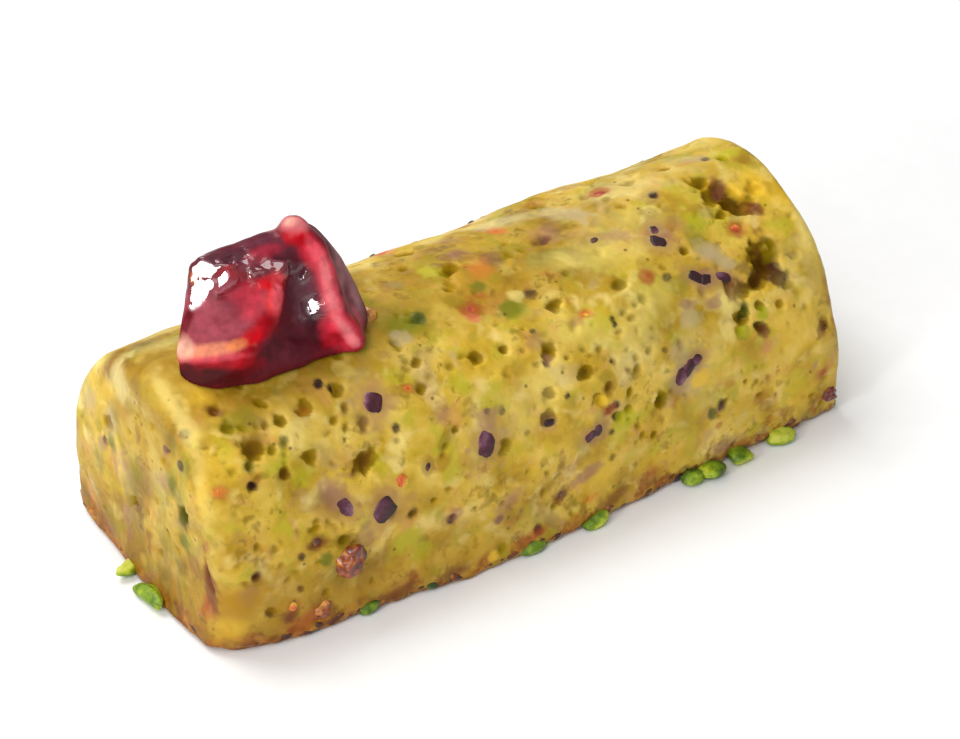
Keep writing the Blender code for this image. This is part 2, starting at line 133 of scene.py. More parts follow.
COLOURS = {
    "cream": rgb(236, 214, 124), "gold": rgb(232, 190, 50), "ochre": rgb(170, 126, 8),
    "olive": rgb(140, 116, 6), "lime": rgb(178, 176, 20), "green": rgb(116, 120, 6),
    "dark green": rgb(56, 70, 10), "tan": rgb(212, 162, 88), "haze": rgb(184, 164, 128),
    "mauve": rgb(154, 108, 92), "plum": rgb(78, 28, 46), "brown": rgb(112, 58, 22),
    "rust": rgb(164, 74, 24), "orange": rgb(220, 116, 40), "rose": rgb(214, 104, 80),
    "dark": rgb(48, 24, 12), "painted hollow shade": rgb(78, 44, 8),
    "pale lime": rgb(216, 202, 104), "painted pale light": rgb(236, 220, 152),
}


# Camera, floor and light

def camera_axes():
    """Right, up and back directions of the camera."""
    azimuth, elevation, roll = (math.radians(a) for a in (CAMERA_AZIMUTH, CAMERA_ELEVATION, CAMERA_ROLL))
    level = math.cos(elevation)
    back = Vector((math.sin(azimuth) * level, -math.cos(azimuth) * level, math.sin(elevation)))
    flat = Vector((math.cos(azimuth), math.sin(azimuth), 0))
    right = flat * math.cos(roll) + back.cross(flat) * math.sin(roll)
    return right, back.cross(right), back


def pixel_ray(px, py):
    """Direction of the photo's ray through a pixel."""
    right, up, back = camera_axes()
    across = (px - PHOTO_WIDTH / 2) / FOCAL_PIXELS
    above = (PHOTO_HEIGHT / 2 - py) / FOCAL_PIXELS
    return (right * across + up * above - back).normalized()


def add_camera():
    data = bpy.data.cameras.new("camera")
    data.sensor_width = SENSOR
    data.lens = SENSOR * FOCAL_PIXELS / PHOTO_WIDTH
    data.clip_start = 0.01
    camera = bpy.data.objects.new("camera", data)
    bpy.context.scene.collection.objects.link(camera)
    turn = Matrix(camera_axes()).transposed().to_4x4()
    camera.matrix_world = Matrix.Translation(CAMERA_PLACE * METRES) @ turn
    bpy.context.scene.camera = camera


def add_softbox(name, place, size, watts, aim):
    data = bpy.data.lights.new(name, "AREA")
    data.shape = "RECTANGLE"
    data.size, data.size_y = size[0] * METRES, size[1] * METRES
    data.energy = watts
    light = bpy.data.objects.new(name, data)
    bpy.context.scene.collection.objects.link(light)
    light.location = place * METRES
    light.rotation_euler = (place - aim).to_track_quat("Z", "Y").to_euler()


def add_floor():
    mesh = bpy.data.meshes.new("studio_floor")
    reach, level = FLOOR_REACH * METRES, -FLOOR_DROP * METRES
    corners = ((-reach, -reach), (reach, -reach), (reach, reach), (-reach, reach))
    mesh.from_pydata([(x, y, level) for x, y in corners], [], [(0, 1, 2, 3)])
    floor = bpy.data.objects.new("studio_floor", mesh)
    bpy.context.scene.collection.objects.link(floor)
    looks = Looks("floor_white")
    looks.set("Base Color", looks.ramp(looks.noise(6.0, 2), ((0.3, 0.90), (0.7, 0.92))))
    looks.set("Roughness", 0.7)
    looks.set("Specular IOR Level", 0.1)
    mesh.materials.append(looks.material)


def add_world():
    world = bpy.data.worlds.new("studio")
    bpy.context.scene.world = world
    world.use_nodes = True
    background = world.node_tree.nodes["Background"]
    background.inputs["Color"].default_value = (1, 1, 1, 1)
    background.inputs["Strength"].default_value = WORLD_LIGHT


def light_the_studio():
    add_world()
    add_floor()
    add_softbox("overhead", OVERHEAD_PLACE, OVERHEAD_SIZE, OVERHEAD_WATTS, LOAF_AIM)
    add_softbox("key", KEY_PLACE, KEY_SIZE, KEY_WATTS, LOAF_AIM)
    add_softbox("window", WINDOW_PLACE, WINDOW_SIZE, WINDOW_WATTS, FRUIT_AIM)
    bpy.context.scene.view_settings.view_transform = "Standard"


# Node materials

class Looks:
    """A material built up from nodes around one Principled shader."""

    def __init__(self, name):
        self.material = bpy.data.materials.new(name)
        self.material.use_nodes = True
        self.tree = self.material.node_tree
        self.shader = self.tree.nodes["Principled BSDF"]
        place = self.tree.nodes.new("ShaderNodeTexCoord")
        scale = self.tree.nodes.new("ShaderNodeVectorMath")
        scale.operation = "SCALE"
        self.tree.links.new(place.outputs["Object"], scale.inputs[0])
        scale.inputs["Scale"].default_value = 1 / METRES
        self.place = scale.outputs[0]

    def node(self, kind, inputs, **settings):
        node = self.tree.nodes.new(kind)
        for name, value in settings.items():
            setattr(node, name, value)
        for name, value in inputs.items():
            self.put(node.inputs[name], value)
        return node

    def put(self, socket, value):
        if isinstance(value, bpy.types.NodeSocket):
            self.tree.links.new(value, socket)
        elif isinstance(value, tuple) and len(value) == 3 and socket.type == "RGBA":
            socket.default_value = value + (1.0,)
        else:
            socket.default_value = value

    def set(self, name, value):
        self.put(self.shader.inputs[name], value)

    def over(self, value, low, high, first, last, colour, under):
        """A colour laid over another, by first at a low value and by last at a high one."""
        return self.mix(self.between(value, low, high, first, last), under, colour)

    def noise(self, wave, detail=2, shift=0.0, roughness=0.5, warp=0.0, stretch=None):
        """Smooth noise with lumps of about wave millimetres; stretch squeezes it along x, y and z."""
        place = self.place
        if stretch:
            place = self.node("ShaderNodeVectorMath", {0: place, 1: stretch}, operation="MULTIPLY").outputs[0]
        inputs = {"Vector": place, "Scale": 1 / wave, "Detail": detail, "W": shift, "Roughness": roughness,
                  "Distortion": warp}
        return self.node("ShaderNodeTexNoise", inputs, noise_dimensions="4D").outputs["Fac"]

    def cells(self, wave):
        """Distance and random colour of scattered points about wave millimetres apart."""
        node = self.node("ShaderNodeTexVoronoi", {"Vector": self.place, "Scale": 1 / wave})
        return node.outputs["Distance"], node.outputs["Color"]

    def ramp(self, factor, stops):
        node = self.node("ShaderNodeValToRGB", {"Fac": factor})
        band = node.color_ramp
        while len(band.elements) < len(stops):
            band.elements.new(1.0)
        for element, (at, colour) in zip(band.elements, stops):
            element.position = at
            element.color = tuple(colour) + (1.0,) if isinstance(colour, tuple) else (colour,) * 3 + (1.0,)
        return node.outputs["Color"]

    def mix(self, factor, first, second, blend="MIX"):
        node = self.node("ShaderNodeMix", {}, data_type="RGBA", blend_type=blend)
        self.put(node.inputs[0], factor)
        self.put(node.inputs[6], first)
        self.put(node.inputs[7], second)
        return node.outputs[2]

    def math(self, operation, first, second=0.5):
        node = self.node("ShaderNodeMath", {}, operation=operation)
        self.put(node.inputs[0], first)
        self.put(node.inputs[1], second)
        return node.outputs[0]

    def between(self, value, low, high, first=0.0, last=1.0):
        """Value mapped from low..high to first..last, and held outside it."""
        inputs = {"Value": value, "From Min": low, "From Max": high, "To Min": first, "To Max": last}
        return self.node("ShaderNodeMapRange", inputs, interpolation_type="SMOOTHSTEP").outputs["Result"]

    def layer(self, name):
        """Colour and strength of a colour layer held in the mesh."""
        node = self.node("ShaderNodeVertexColor", {}, layer_name=name)
        return node.outputs["Color"], node.outputs["Alpha"]

    def value(self, name):
        return self.node("ShaderNodeAttribute", {}, attribute_name=name).outputs["Fac"]

    def place_part(self, axis):
        node = self.node("ShaderNodeSeparateXYZ", {"Vector": self.place})
        return node.outputs[axis]

    def bump(self, height, depth):
        node = self.node("ShaderNodeBump", {"Height": height, "Strength": 1.0, "Distance": depth * METRES})
        self.set("Normal", node.outputs["Normal"])

    def soften(self, weight, radius, scale):
        """Light that travels under the skin: its reach in red, green and blue, and a scale in millimetres."""
        self.set("Subsurface Weight", weight)
        self.shader.inputs["Subsurface Radius"].default_value = radius
        self.set("Subsurface Scale", scale * METRES)


# Clouds in the crumb: lump size, detail, shift, roughness, warp, band of the noise, weight and colour
CLOUDS = (
    (4.6, 3, 5, 0.5, 0.6, 0.52, 0.68, 0.7, rgb(186, 176, 34)),
    (4, 3, 9, 0.5, 0.6, 0.55, 0.70, 0.7, rgb(216, 164, 88)),
    (5.5, 3, 14, 0.5, 0.6, 0.58, 0.74, 0.6, rgb(194, 172, 116)),
    (3.2, 2, 17, 0.4, 0.4, 0.54, 0.72, 0.75, rgb(238, 214, 130)),
)

# Speckles that gather in clusters: lump size, shift, band of the noise, weight and colour
SPECKLES = (
    (2.2, 23, 0.56, 0.70, 0.7, rgb(140, 108, 2)), (1.2, 27, 0.58, 0.72, 0.5, rgb(122, 92, 6)),
    (2.6, 31, 0.60, 0.74, 0.55, rgb(148, 96, 48)), (1.6, 35, 0.60, 0.74, 0.5, rgb(116, 118, 4)),
)

# Upright streaks of the cut ends: lump size, shift, band of the noise, weight and colour
STREAKS = ((3.4, 51, 0.52, 0.70, 0.6, rgb(158, 146, 72)), (3, 57, 0.56, 0.72, 0.7, rgb(172, 132, 100)))
UPRIGHT = (1.0, 1.0, 0.34)


def crumb_colour(looks):
    """Pale yellow with ochre, lime and tan clouds, speckles, and streaks on the cut ends."""
    colour = looks.ramp(looks.noise(6.0, 4, 1.0, 0.5, warp=0.5), (
        (0.32, rgb(168, 132, 16)), (0.45, rgb(202, 166, 44)), (0.56, rgb(222, 188, 76)),
        (0.70, rgb(234, 208, 112))))
    for wave, detail, shift, roughness, warp, low, high, weight, tint in CLOUDS:
        cloud = looks.noise(wave, detail, shift, roughness, warp=warp)
        colour = looks.over(cloud, low, high, 0.0, weight, tint, colour)
    clusters = looks.between(looks.noise(8.0, 2, 21.0), 0.42, 0.62, 0.2, 1.0)
    for wave, shift, low, high, weight, tint in SPECKLES:
        speckle = looks.between(looks.noise(wave, 2, shift, 0.5, warp=0.4), low, high, 0.0, weight)
        colour = looks.mix(looks.math("MULTIPLY", speckle, clusters), colour, tint)
    end = looks.value("end")
    for wave, shift, low, high, weight, tint in STREAKS:
        streak = looks.noise(wave, 3, shift, 0.5, warp=0.7, stretch=UPRIGHT)
        streak = looks.math("MULTIPLY", looks.between(streak, low, high, 0.0, weight), end)
        colour = looks.mix(streak, colour, tint)
    return colour


def shade_crumb(looks, colour):
    """Broad random tone, the darker strip along the crest, and low on the near half a browner yellow that is
    partly painted shade.
    """
    broad = looks.ramp(looks.noise(15.0, 1, 71.0), ((0.35, rgb(232, 228, 206)), (0.6, rgb(255, 255, 255))))
    colour = looks.mix(1.0, colour, broad, "MULTIPLY")
    along, height = looks.place_part("X"), looks.place_part("Z")
    crest = looks.math("MULTIPLY", looks.value("crest"), looks.between(along, 8.0, 30.0, 1.0, 0.1))
    colour = looks.mix(crest, colour, rgb(216, 206, 154), "MULTIPLY")
    # Painted shade, partly a browner lower crumb: darker towards the base on the near half, fading out
    # towards the far end.
    low = looks.math("MULTIPLY", looks.between(height, 0.0, 20.0, 1.0, 0.0),
                     looks.between(along, -50.0, 32.0, 1.0, 0.08))
    return looks.mix(low, colour, rgb(200, 182, 116), "MULTIPLY")


def crust_colour(looks, colour):
    """Toasted brown round the foot, with a ragged upper edge."""
    ragged = looks.between(looks.noise(3.0, 4, 7.0, 0.6), 0.3, 0.7, -2.8, 2.8)
    foot = looks.math("ADD", looks.place_part("Z"), ragged)
    crust = looks.ramp(looks.noise(2.0, 3, 61.0, 0.6), (
        (0.35, rgb(96, 48, 12)), (0.5, rgb(148, 84, 18)), (0.65, rgb(188, 130, 34))))
    return looks.over(foot, 0.2, 3.4, 0.9, 0.0, crust, colour)


def fleck_colour(looks, colour):
    """Rare fine flecks of nut and peel."""
    distance, draw = looks.cells(1.9)
    parts = looks.node("ShaderNodeSeparateColor", {"Color": draw})
    rare = looks.between(parts.outputs["Red"], 0.84, 0.86)
    fleck = looks.math("MULTIPLY", looks.between(distance, 0.06, 0.2, 0.7, 0.0), rare)
    tint = looks.ramp(parts.outputs["Green"], (
        (0.3, rgb(92, 96, 10)), (0.6, rgb(116, 78, 20)), (0.9, rgb(88, 42, 30))))
    return looks.mix(fleck, colour, tint)


def crumb_looks():
    """Moist pistachio crumb with painted tones, stains with painted light and shade, painted shade in the
    pits and a toasted foot.
    """
    looks = Looks("moist_pistachio_crumb")
    tone, strength = looks.layer("tone")
    colour = looks.mix(strength, crumb_colour(looks), tone)
    colour = crust_colour(looks, shade_crumb(looks, colour))
    pit = looks.value("pit")
    # Painted shade in the pits: olive, darker the deeper the pit.
    colour = looks.over(pit, 0.05, 0.55, 0.0, 0.9, rgb(140, 110, 0), colour)
    colour = looks.over(pit, 0.5, 1.3, 0.0, 0.9, rgb(84, 56, 0), colour)
    # Stains, with painted light and painted shade among them, laid over the crumb.
    stain, strength = looks.layer("stain")
    colour = looks.mix(strength, colour, stain)
    looks.set("Base Color", fleck_colour(looks, colour))
    looks.set("Roughness", looks.between(looks.noise(2.5, 2, 11.0), 0.3, 0.7, 0.42, 0.64))
    looks.set("Specular IOR Level", looks.between(pit, 0.0, 0.5, 0.26, 0.04))
    looks.soften(0.45, (1.0, 0.74, 0.26), 0.9)
    looks.bump(looks.noise(0.8, 2, 2.0, 0.5), 0.06)
    return looks.material


def fruit_looks():
    """Candied fruit under a thin clear glaze: its colours come from its folds."""
    looks = Looks("glazed_raspberry_fruit")
    tone, _ = looks.layer("tone")
    vein = looks.between(looks.noise(1.3, 3, 2.0, 0.5), 0.30, 0.70, 0.80, 1.16)
    looks.set("Base Color", looks.mix(1.0, tone, vein, "MULTIPLY"))
    looks.set("Roughness", 0.45)
    looks.set("Specular IOR Level", 0.06)
    wet = looks.value("wet")
    looks.set("Coat Weight", wet)
    looks.set("Coat Roughness", looks.between(wet, 0.0, 1.0, 0.30, 0.03))
    looks.set("Coat IOR", 1.6)
    looks.soften(0.18, (1.0, 0.28, 0.22), 0.8)
    looks.bump(looks.noise(0.9, 3, 4.0), 0.06)
    return looks.material


def bit_looks(name, stops, roughness=0.5, coat=0.0, grain=0.6, mottle=0.22):
    """Colours of small bits: each bit has its own tone, with fine mottling over it."""
    looks = Looks(name)
    fine = looks.between(looks.noise(grain * 1.6, 3, 4.0, 0.6), 0.25, 0.75, -mottle, mottle)
    looks.set("Base Color", looks.ramp(looks.math("ADD", looks.value("tone"), fine), stops))
    looks.set("Roughness", roughness)
    looks.set("Coat Weight", coat)
    looks.set("Coat Roughness", 0.08)
    looks.soften(0.15, (1.0, 0.8, 0.4), 0.8)
    looks.bump(looks.noise(grain, 3, 1.0), 0.08)
    return looks.material


# Each kind of bit: its material, that material's settings, and its tones from dark to light
BIT_KINDS = {
    "purple_fruit_bits": ("dark_purple_fruit", {"mottle": 0.24}, (
        (0.0, rgb(44, 8, 16)), (0.35, rgb(72, 18, 34)), (0.6, rgb(92, 42, 62)), (0.85, rgb(126, 82, 100)),
        (1.0, rgb(160, 122, 118)))),
    "dark_specks": ("dark_specks", {}, (
        (0.0, rgb(44, 18, 16)), (0.4, rgb(72, 30, 28)), (0.7, rgb(98, 52, 34)), (1.0, rgb(120, 84, 40)))),
    "green_flecks": ("green_flecks", {}, (
        (0.0, rgb(40, 56, 12)), (0.5, rgb(88, 100, 12)), (1.0, rgb(150, 160, 30)))),
    "orange_fruit_bits": ("orange_fruit_bits", {"roughness": 0.45, "coat": 0.15}, (
        (0.0, rgb(150, 44, 28)), (0.35, rgb(190, 76, 30)), (0.65, rgb(214, 112, 30)),
        (0.85, rgb(232, 150, 50)), (1.0, rgb(236, 196, 50)))),
    "candied_lumps": ("candied_lumps", {"roughness": 0.34, "coat": 0.5, "grain": 0.8, "mottle": 0.45}, (
        (0.0, rgb(70, 22, 10)), (0.4, rgb(118, 44, 18)), (0.7, rgb(162, 78, 26)), (1.0, rgb(206, 138, 48)))),
    "pistachio_bits": ("chopped_pistachio", {}, (
        (0.0, rgb(44, 62, 8)), (0.3, rgb(80, 112, 6)), (0.55, rgb(120, 148, 14)), (0.8, rgb(164, 184, 34)),
        (1.0, rgb(196, 200, 70)))),
    "toasted_crust_bits": ("toasted_crust", {"mottle": 0.35}, (
        (0.0, rgb(74, 34, 8)), (0.35, rgb(120, 62, 14)), (0.65, rgb(164, 100, 26)),
        (1.0, rgb(206, 156, 58)))),
}


# Surface of the loaf

def swell(points, wave, seed, waves=7):
    """Smooth unevenness of about one either way: a few plane waves in seeded directions."""
    draw = np.random.default_rng(seed)
    total = np.zeros(len(points))
    for _ in range(waves):
        direction = draw.normal(size=3)
        direction *= 2 * math.pi / (wave * draw.uniform(0.7, 1.4) * np.linalg.norm(direction))
        total += np.sin(points @ direction + draw.uniform(0, 2 * math.pi))
    return total / math.sqrt(waves)


def lumps(points, wave, shift=0.0):
    """Smooth noise from about -1 to 1 with lumps of about wave millimetres."""
    return np.array([noise.noise(Vector(p)) for p in points / wave + shift])


def half_width(x):
    return WIDTH / 2 * (1 - NARROWING * (2 * x / LENGTH) ** 2)


def rise(x):
    return 1 + END_RISE * (2 * x / LENGTH) ** 2


def skin(x, turn):
    """Point and outward direction on the side; turn is degrees up from the front, 90 at the crest."""
    angle = math.radians(turn)
    half, lift = half_width(x), rise(x)
    dome = (HEIGHT - WALL) * lift
    if 0 <= turn <= 180:
        reach = 1 / math.hypot(math.cos(angle) / half, math.sin(angle) / dome)
        across, up = -reach * math.cos(angle), reach * math.sin(angle)
        outward = Vector((0, across / half ** 2, up / dome ** 2)).normalized()
    else:
        side = 1 if math.cos(angle) > 0 else -1
        across, up = -side * half, half * abs(math.tan(angle)) * -1
        outward = Vector((0, -side, 0))
    place = Vector((x, across, WALL * lift + up))
    lump = SWELL * float(swell(np.array([place]), SWELL_WAVE, SEED)[0])
    return place + outward * lump, outward


def height_above_loaf(points):
    """About how far points stand off the dome, its swell included."""
    share = 2 * points[:, 0] / LENGTH
    across = points[:, 1] / (WIDTH / 2 * (1 - NARROWING * share ** 2))
    up = (points[:, 2] / (1 + END_RISE * share ** 2) - WALL) / (HEIGHT - WALL)
    return (np.hypot(across, up) - 1) * (HEIGHT - WALL) - SWELL * swell(points, SWELL_WAVE, SEED)


def section():
    """Cross-section from the middle of the base, round the back and the crest to the front again."""
    half, dome = WIDTH / 2, HEIGHT - WALL
    flat = half - BASE_CORNER
    arc = np.linspace(0, math.pi / 2, 2 * OUTLINE_SAMPLES)
    runs = (
        (np.linspace(0, flat, OUTLINE_SAMPLES), np.zeros(OUTLINE_SAMPLES)),
        (flat + BASE_CORNER * np.sin(arc), BASE_CORNER * (1 - np.cos(arc))),
        (np.full(OUTLINE_SAMPLES, half), np.linspace(BASE_CORNER, WALL, OUTLINE_SAMPLES)),
        (half * np.cos(arc), WALL + dome * np.sin(arc)),
    )
    side = np.concatenate([np.stack(run, axis=1)[:-1] for run in runs] + [[(0, HEIGHT)]])
    path = np.concatenate([side, side[-2::-1] * (-1, 1)])
    lengths = np.linalg.norm(np.diff(path, axis=0), axis=1)
    across, height = (path[1:] + path[:-1]).T / 2
    step = np.where(across > SEEN_FROM, STEP_BACK, STEP_SEEN)
    step = np.where(height < BASE_LEVEL, STEP_BASE, step)
    walked = np.concatenate([[0], np.cumsum(lengths / step)])
    picks = np.linspace(0, walked[-1], math.ceil(walked[-1]) + 1)[:-1]
    return np.stack([np.interp(picks, walked, path[:, i]) for i in (0, 1)], axis=1)


def end_ring(outline, end, corner, lean, step):
    """One ring of a rounded end; step runs from 0 at the end face to 1 where its corner ends."""
    across, height = outline.T
    angle = step * math.pi / 2
    inset, back = corner * (1 - math.sin(angle)), corner * (1 - math.cos(angle))
    x = end * (LENGTH / 2 - back)
    crest = np.maximum(0, (height - WALL) / (HEIGHT - WALL))
    z = (height - inset * crest) * rise(x)
    z += np.where(height < BASE_CORNER, min(inset, BASE_CORNER) * 0.5 * (1 - height / BASE_CORNER), 0)
    y = (across - inset * across / (WIDTH / 2)) * half_width(x) / (WIDTH / 2)
    return np.stack([x - end * lean * z, y, z], axis=1)


def middle_ring(outline, x):
    """A ring between the two rounded ends; the ends' lean fades in towards them."""
    across, height = outline.T
    z = height * rise(x)
    near, far = max(0.0, -2 * x / LENGTH), max(0.0, 2 * x / LENGTH)
    shift = (NEAR_LEAN * near - FAR_LEAN * far) * z
    return np.stack([x + shift, across * half_width(x) / (WIDTH / 2), z], axis=1)


def loaf_mesh():
    """Vertices and faces of the plain closed loaf."""
    outline = section()
    near_steps = np.linspace(0, 1, NEAR_CORNER_RINGS + 1)[:-1]
    far_steps = np.linspace(1, 0, FAR_CORNER_RINGS + 1)[1:]
    start, stop = -LENGTH / 2 + NEAR_CORNER, LENGTH / 2 - FAR_CORNER
    places = np.linspace(start, stop, round((stop - start) / STEP_ALONG) + 1)
    rings = [end_ring(outline, -1, NEAR_CORNER, NEAR_LEAN, step) for step in near_steps]
    rings += [middle_ring(outline, x) for x in places]
    rings += [end_ring(outline, 1, FAR_CORNER, FAR_LEAN, step) for step in far_steps]
    near, far = rings[0].mean(axis=0), rings[-1].mean(axis=0)
    near_cap = [near + (rings[0] - near) * i / (NEAR_RINGS + 1) for i in range(1, NEAR_RINGS + 1)]
    far_cap = [far + (rings[-1] - far) * i / (FAR_RINGS + 1) for i in range(FAR_RINGS, 0, -1)]
    rings = near_cap + rings + far_cap
    count, rows = len(outline), len(rings)
    points = np.concatenate(rings + [near[None], far[None]])
    grid = np.arange(rows * count).reshape(rows, count)
    turned = np.roll(grid, -1, axis=1)
    quads = np.stack([grid[:-1], turned[:-1], turned[1:], grid[1:]], axis=2).reshape(-1, 4).tolist()
    hubs = rows * count, rows * count + 1
    fans = [(hubs[0], grid[0, (i + 1) % count], grid[0, i]) for i in range(count)]
    fans += [(hubs[1], grid[-1, i], grid[-1, (i + 1) % count]) for i in range(count)]
    return points, [tuple(int(v) for v in face) for face in quads + fans]


def vertex_normals(points, faces):
    mesh = bpy.data.meshes.new("measured")
    mesh.from_pydata(points.tolist(), [], faces)
    normals = np.empty(len(points) * 3)
    mesh.vertex_normals.foreach_get("vector", normals)
    bpy.data.meshes.remove(mesh)
    return normals.reshape(-1, 3)


# What the photo shows on the loaf

# Pores of the front by place along the loaf, turn up from the front and width
FRONT_PORES = (
    (-43, 68, 1.8), (-41, 51, 3.3), (-38, 41, 2.6), (-36, 57, 2.5), (-34, 43, 2.4), (-32, 58, 2.5),
    (-27, 60, 2.2), (-27, 35, 3.1), (-16, 51, 1.8), (-7, 54, 2.6), (-7, 23, 2), (-3, 53, 2), (0, 26, 2.8),
    (1, 34, 2.2), (3, 47, 2.8), (7, 36, 2.6), (7, 61, 2.4), (8, 26, 2.2), (15, 30, 1.8), (17, 59, 2.4),
    (18, 15, 2.8),
)

# Ragged hollows near the far end, each a cluster of bubbles
HOLLOWS = (
    (37, 84, 3), (37.4, 77, 3.6), (38.8, 72, 3.4), (41.5, 71, 2.8), (43.2, 74, 2.6), (38.6, 53, 3),
    (39, 47, 3.6), (37.4, 43, 3.4), (34.6, 42, 2.6), (33.1, 33, 3), (36.3, 35, 2.4),
)

# Pores of the end faces: which end, its lean, place across, height and width
END_PORES = (
    (-1, NEAR_LEAN, 2, 12, 2), (-1, NEAR_LEAN, -11, 18, 2.2), (-1, NEAR_LEAN, 8, 21, 2.4),
    (1, FAR_LEAN, -9, 14, 2.4), (1, FAR_LEAN, 4, 21, 2.8), (1, FAR_LEAN, 11, 10, 2.2),
)

# Small pits by photo pixel, with length, breadth and slant in degrees up from the photo's right
SMALL_PITS = (
    (214, 411, 1.8, 1.5, 80), (265, 425, 2.2, 1.3, 80), (281, 421, 2.2, 1.7, 80), (265, 405, 1.4, 1.3, 0),
    (228, 428, 2, 1.8, 0), (259, 457, 1.8, 1.2, 130), (205, 448, 1.2, 1.1, 0), (249, 466, 2.2, 1.4, 100),
    (252, 485, 1.6, 1.4, 0), (309, 459, 2, 1.3, 80), (346, 428, 2.2, 1.2, 80), (346, 407, 1.8, 1.3, 110),
    (340, 388, 1.9, 1.6, 60), (365, 423, 2.4, 1.5, 80), (345, 440, 1.8, 1, 80), (372, 452, 2.6, 1.1, 60),
    (367, 466, 1.6, 1.1, 110), (421, 389, 1.8, 1.7, 0), (417, 362, 2.4, 1.9, 70), (501, 349, 1.2, 1.2, 0),
    (567, 358, 1.2, 1.1, 0), (523, 329, 1, 0.9, 0), (505, 448, 2.8, 1.3, 50), (456, 430, 2, 1.3, 60),
    (446, 446, 2, 1.1, 60), (536, 407, 1.4, 0.8, 70), (624, 312, 1.7, 1.2, 60), (636, 305, 1.3, 1.1, 40),
    (666, 350, 1.6, 1.3, 0), (639, 371, 1.6, 1.4, 70), (628, 349, 1.3, 1, 60), (655, 435, 1.6, 1.4, 60),
    (665, 396, 2.6, 1.4, 120), (631, 392, 2.2, 1.3, 70), (610, 387, 2, 1.5, 60), (595, 402, 2.4, 1, 50),
    (616, 415, 1.5, 1, 40), (781, 304, 2, 1.7, 0), (794, 255, 2, 1.6, 0), (779, 371, 1.3, 0.9, 60),
    (746, 382, 1.4, 1.2, 0), (812, 396, 1.3, 1, 0), (776, 395, 1.4, 1, 70), (687, 180, 2.4, 1.1, 130),
    (684, 251, 2, 1.8, 0), (567, 273, 1.4, 1.2, 0), (449, 289, 1.6, 1.4, 0), (317, 528, 2.2, 1.4, 20),
    (318, 544, 2.4, 1, 20), (344, 541, 2.2, 1.6, 20), (476, 509, 1.1, 1.1, 0), (528, 472, 1.5, 1, 50),
    (435, 500, 1.5, 1.2, 0), (455, 518, 1.5, 1.3, 0), (413, 514, 1.6, 1.3, 0), (445, 553, 1.8, 0.7, 80),
    (373, 581, 1.7, 0.9, 80), (270, 613, 1.1, 1, 0), (301, 589, 1, 0.9, 0), (256, 578, 1.5, 1.2, 0),
    (722, 157, 2.2, 2, 0), (705, 159, 1.2, 0.9, 0), (208, 573, 4, 1, 100), (212, 588, 2.4, 1, 120),
    (722, 214, 2.4, 1.8, 40), (749, 201, 3, 1.6, 150), (772, 246, 2.6, 1.9, 100), (790, 285, 2.4, 1.8, 20),
    (728, 284, 3.4, 1.6, 110), (755, 286, 2, 1.6, 30), (740, 294, 2, 1.3, 60), (759, 326, 2.4, 1.5, 150),
    (745, 312, 2.6, 1.6, 90), (729, 199, 7, 4.2, 150), (768, 262, 5, 4, 60), (757, 279, 3.8, 2.4, 40),
)

# Patches of small pits by photo pixel: spread across and up in pixels, and how many
PIT_PATCHES = (
    (268, 436, 34, 20, 34), (330, 532, 16, 12, 12), (636, 330, 36, 18, 16), (640, 400, 36, 22, 22),
    (560, 360, 46, 26, 8), (470, 360, 46, 18, 6), (400, 440, 36, 22, 8), (760, 330, 22, 36, 10),
    (690, 195, 18, 14, 8), (250, 560, 26, 22, 12), (500, 500, 46, 22, 8), (720, 420, 36, 16, 10),
    (130, 430, 20, 44, 12), (160, 520, 20, 34, 10), (425, 325, 28, 12, 8),
)
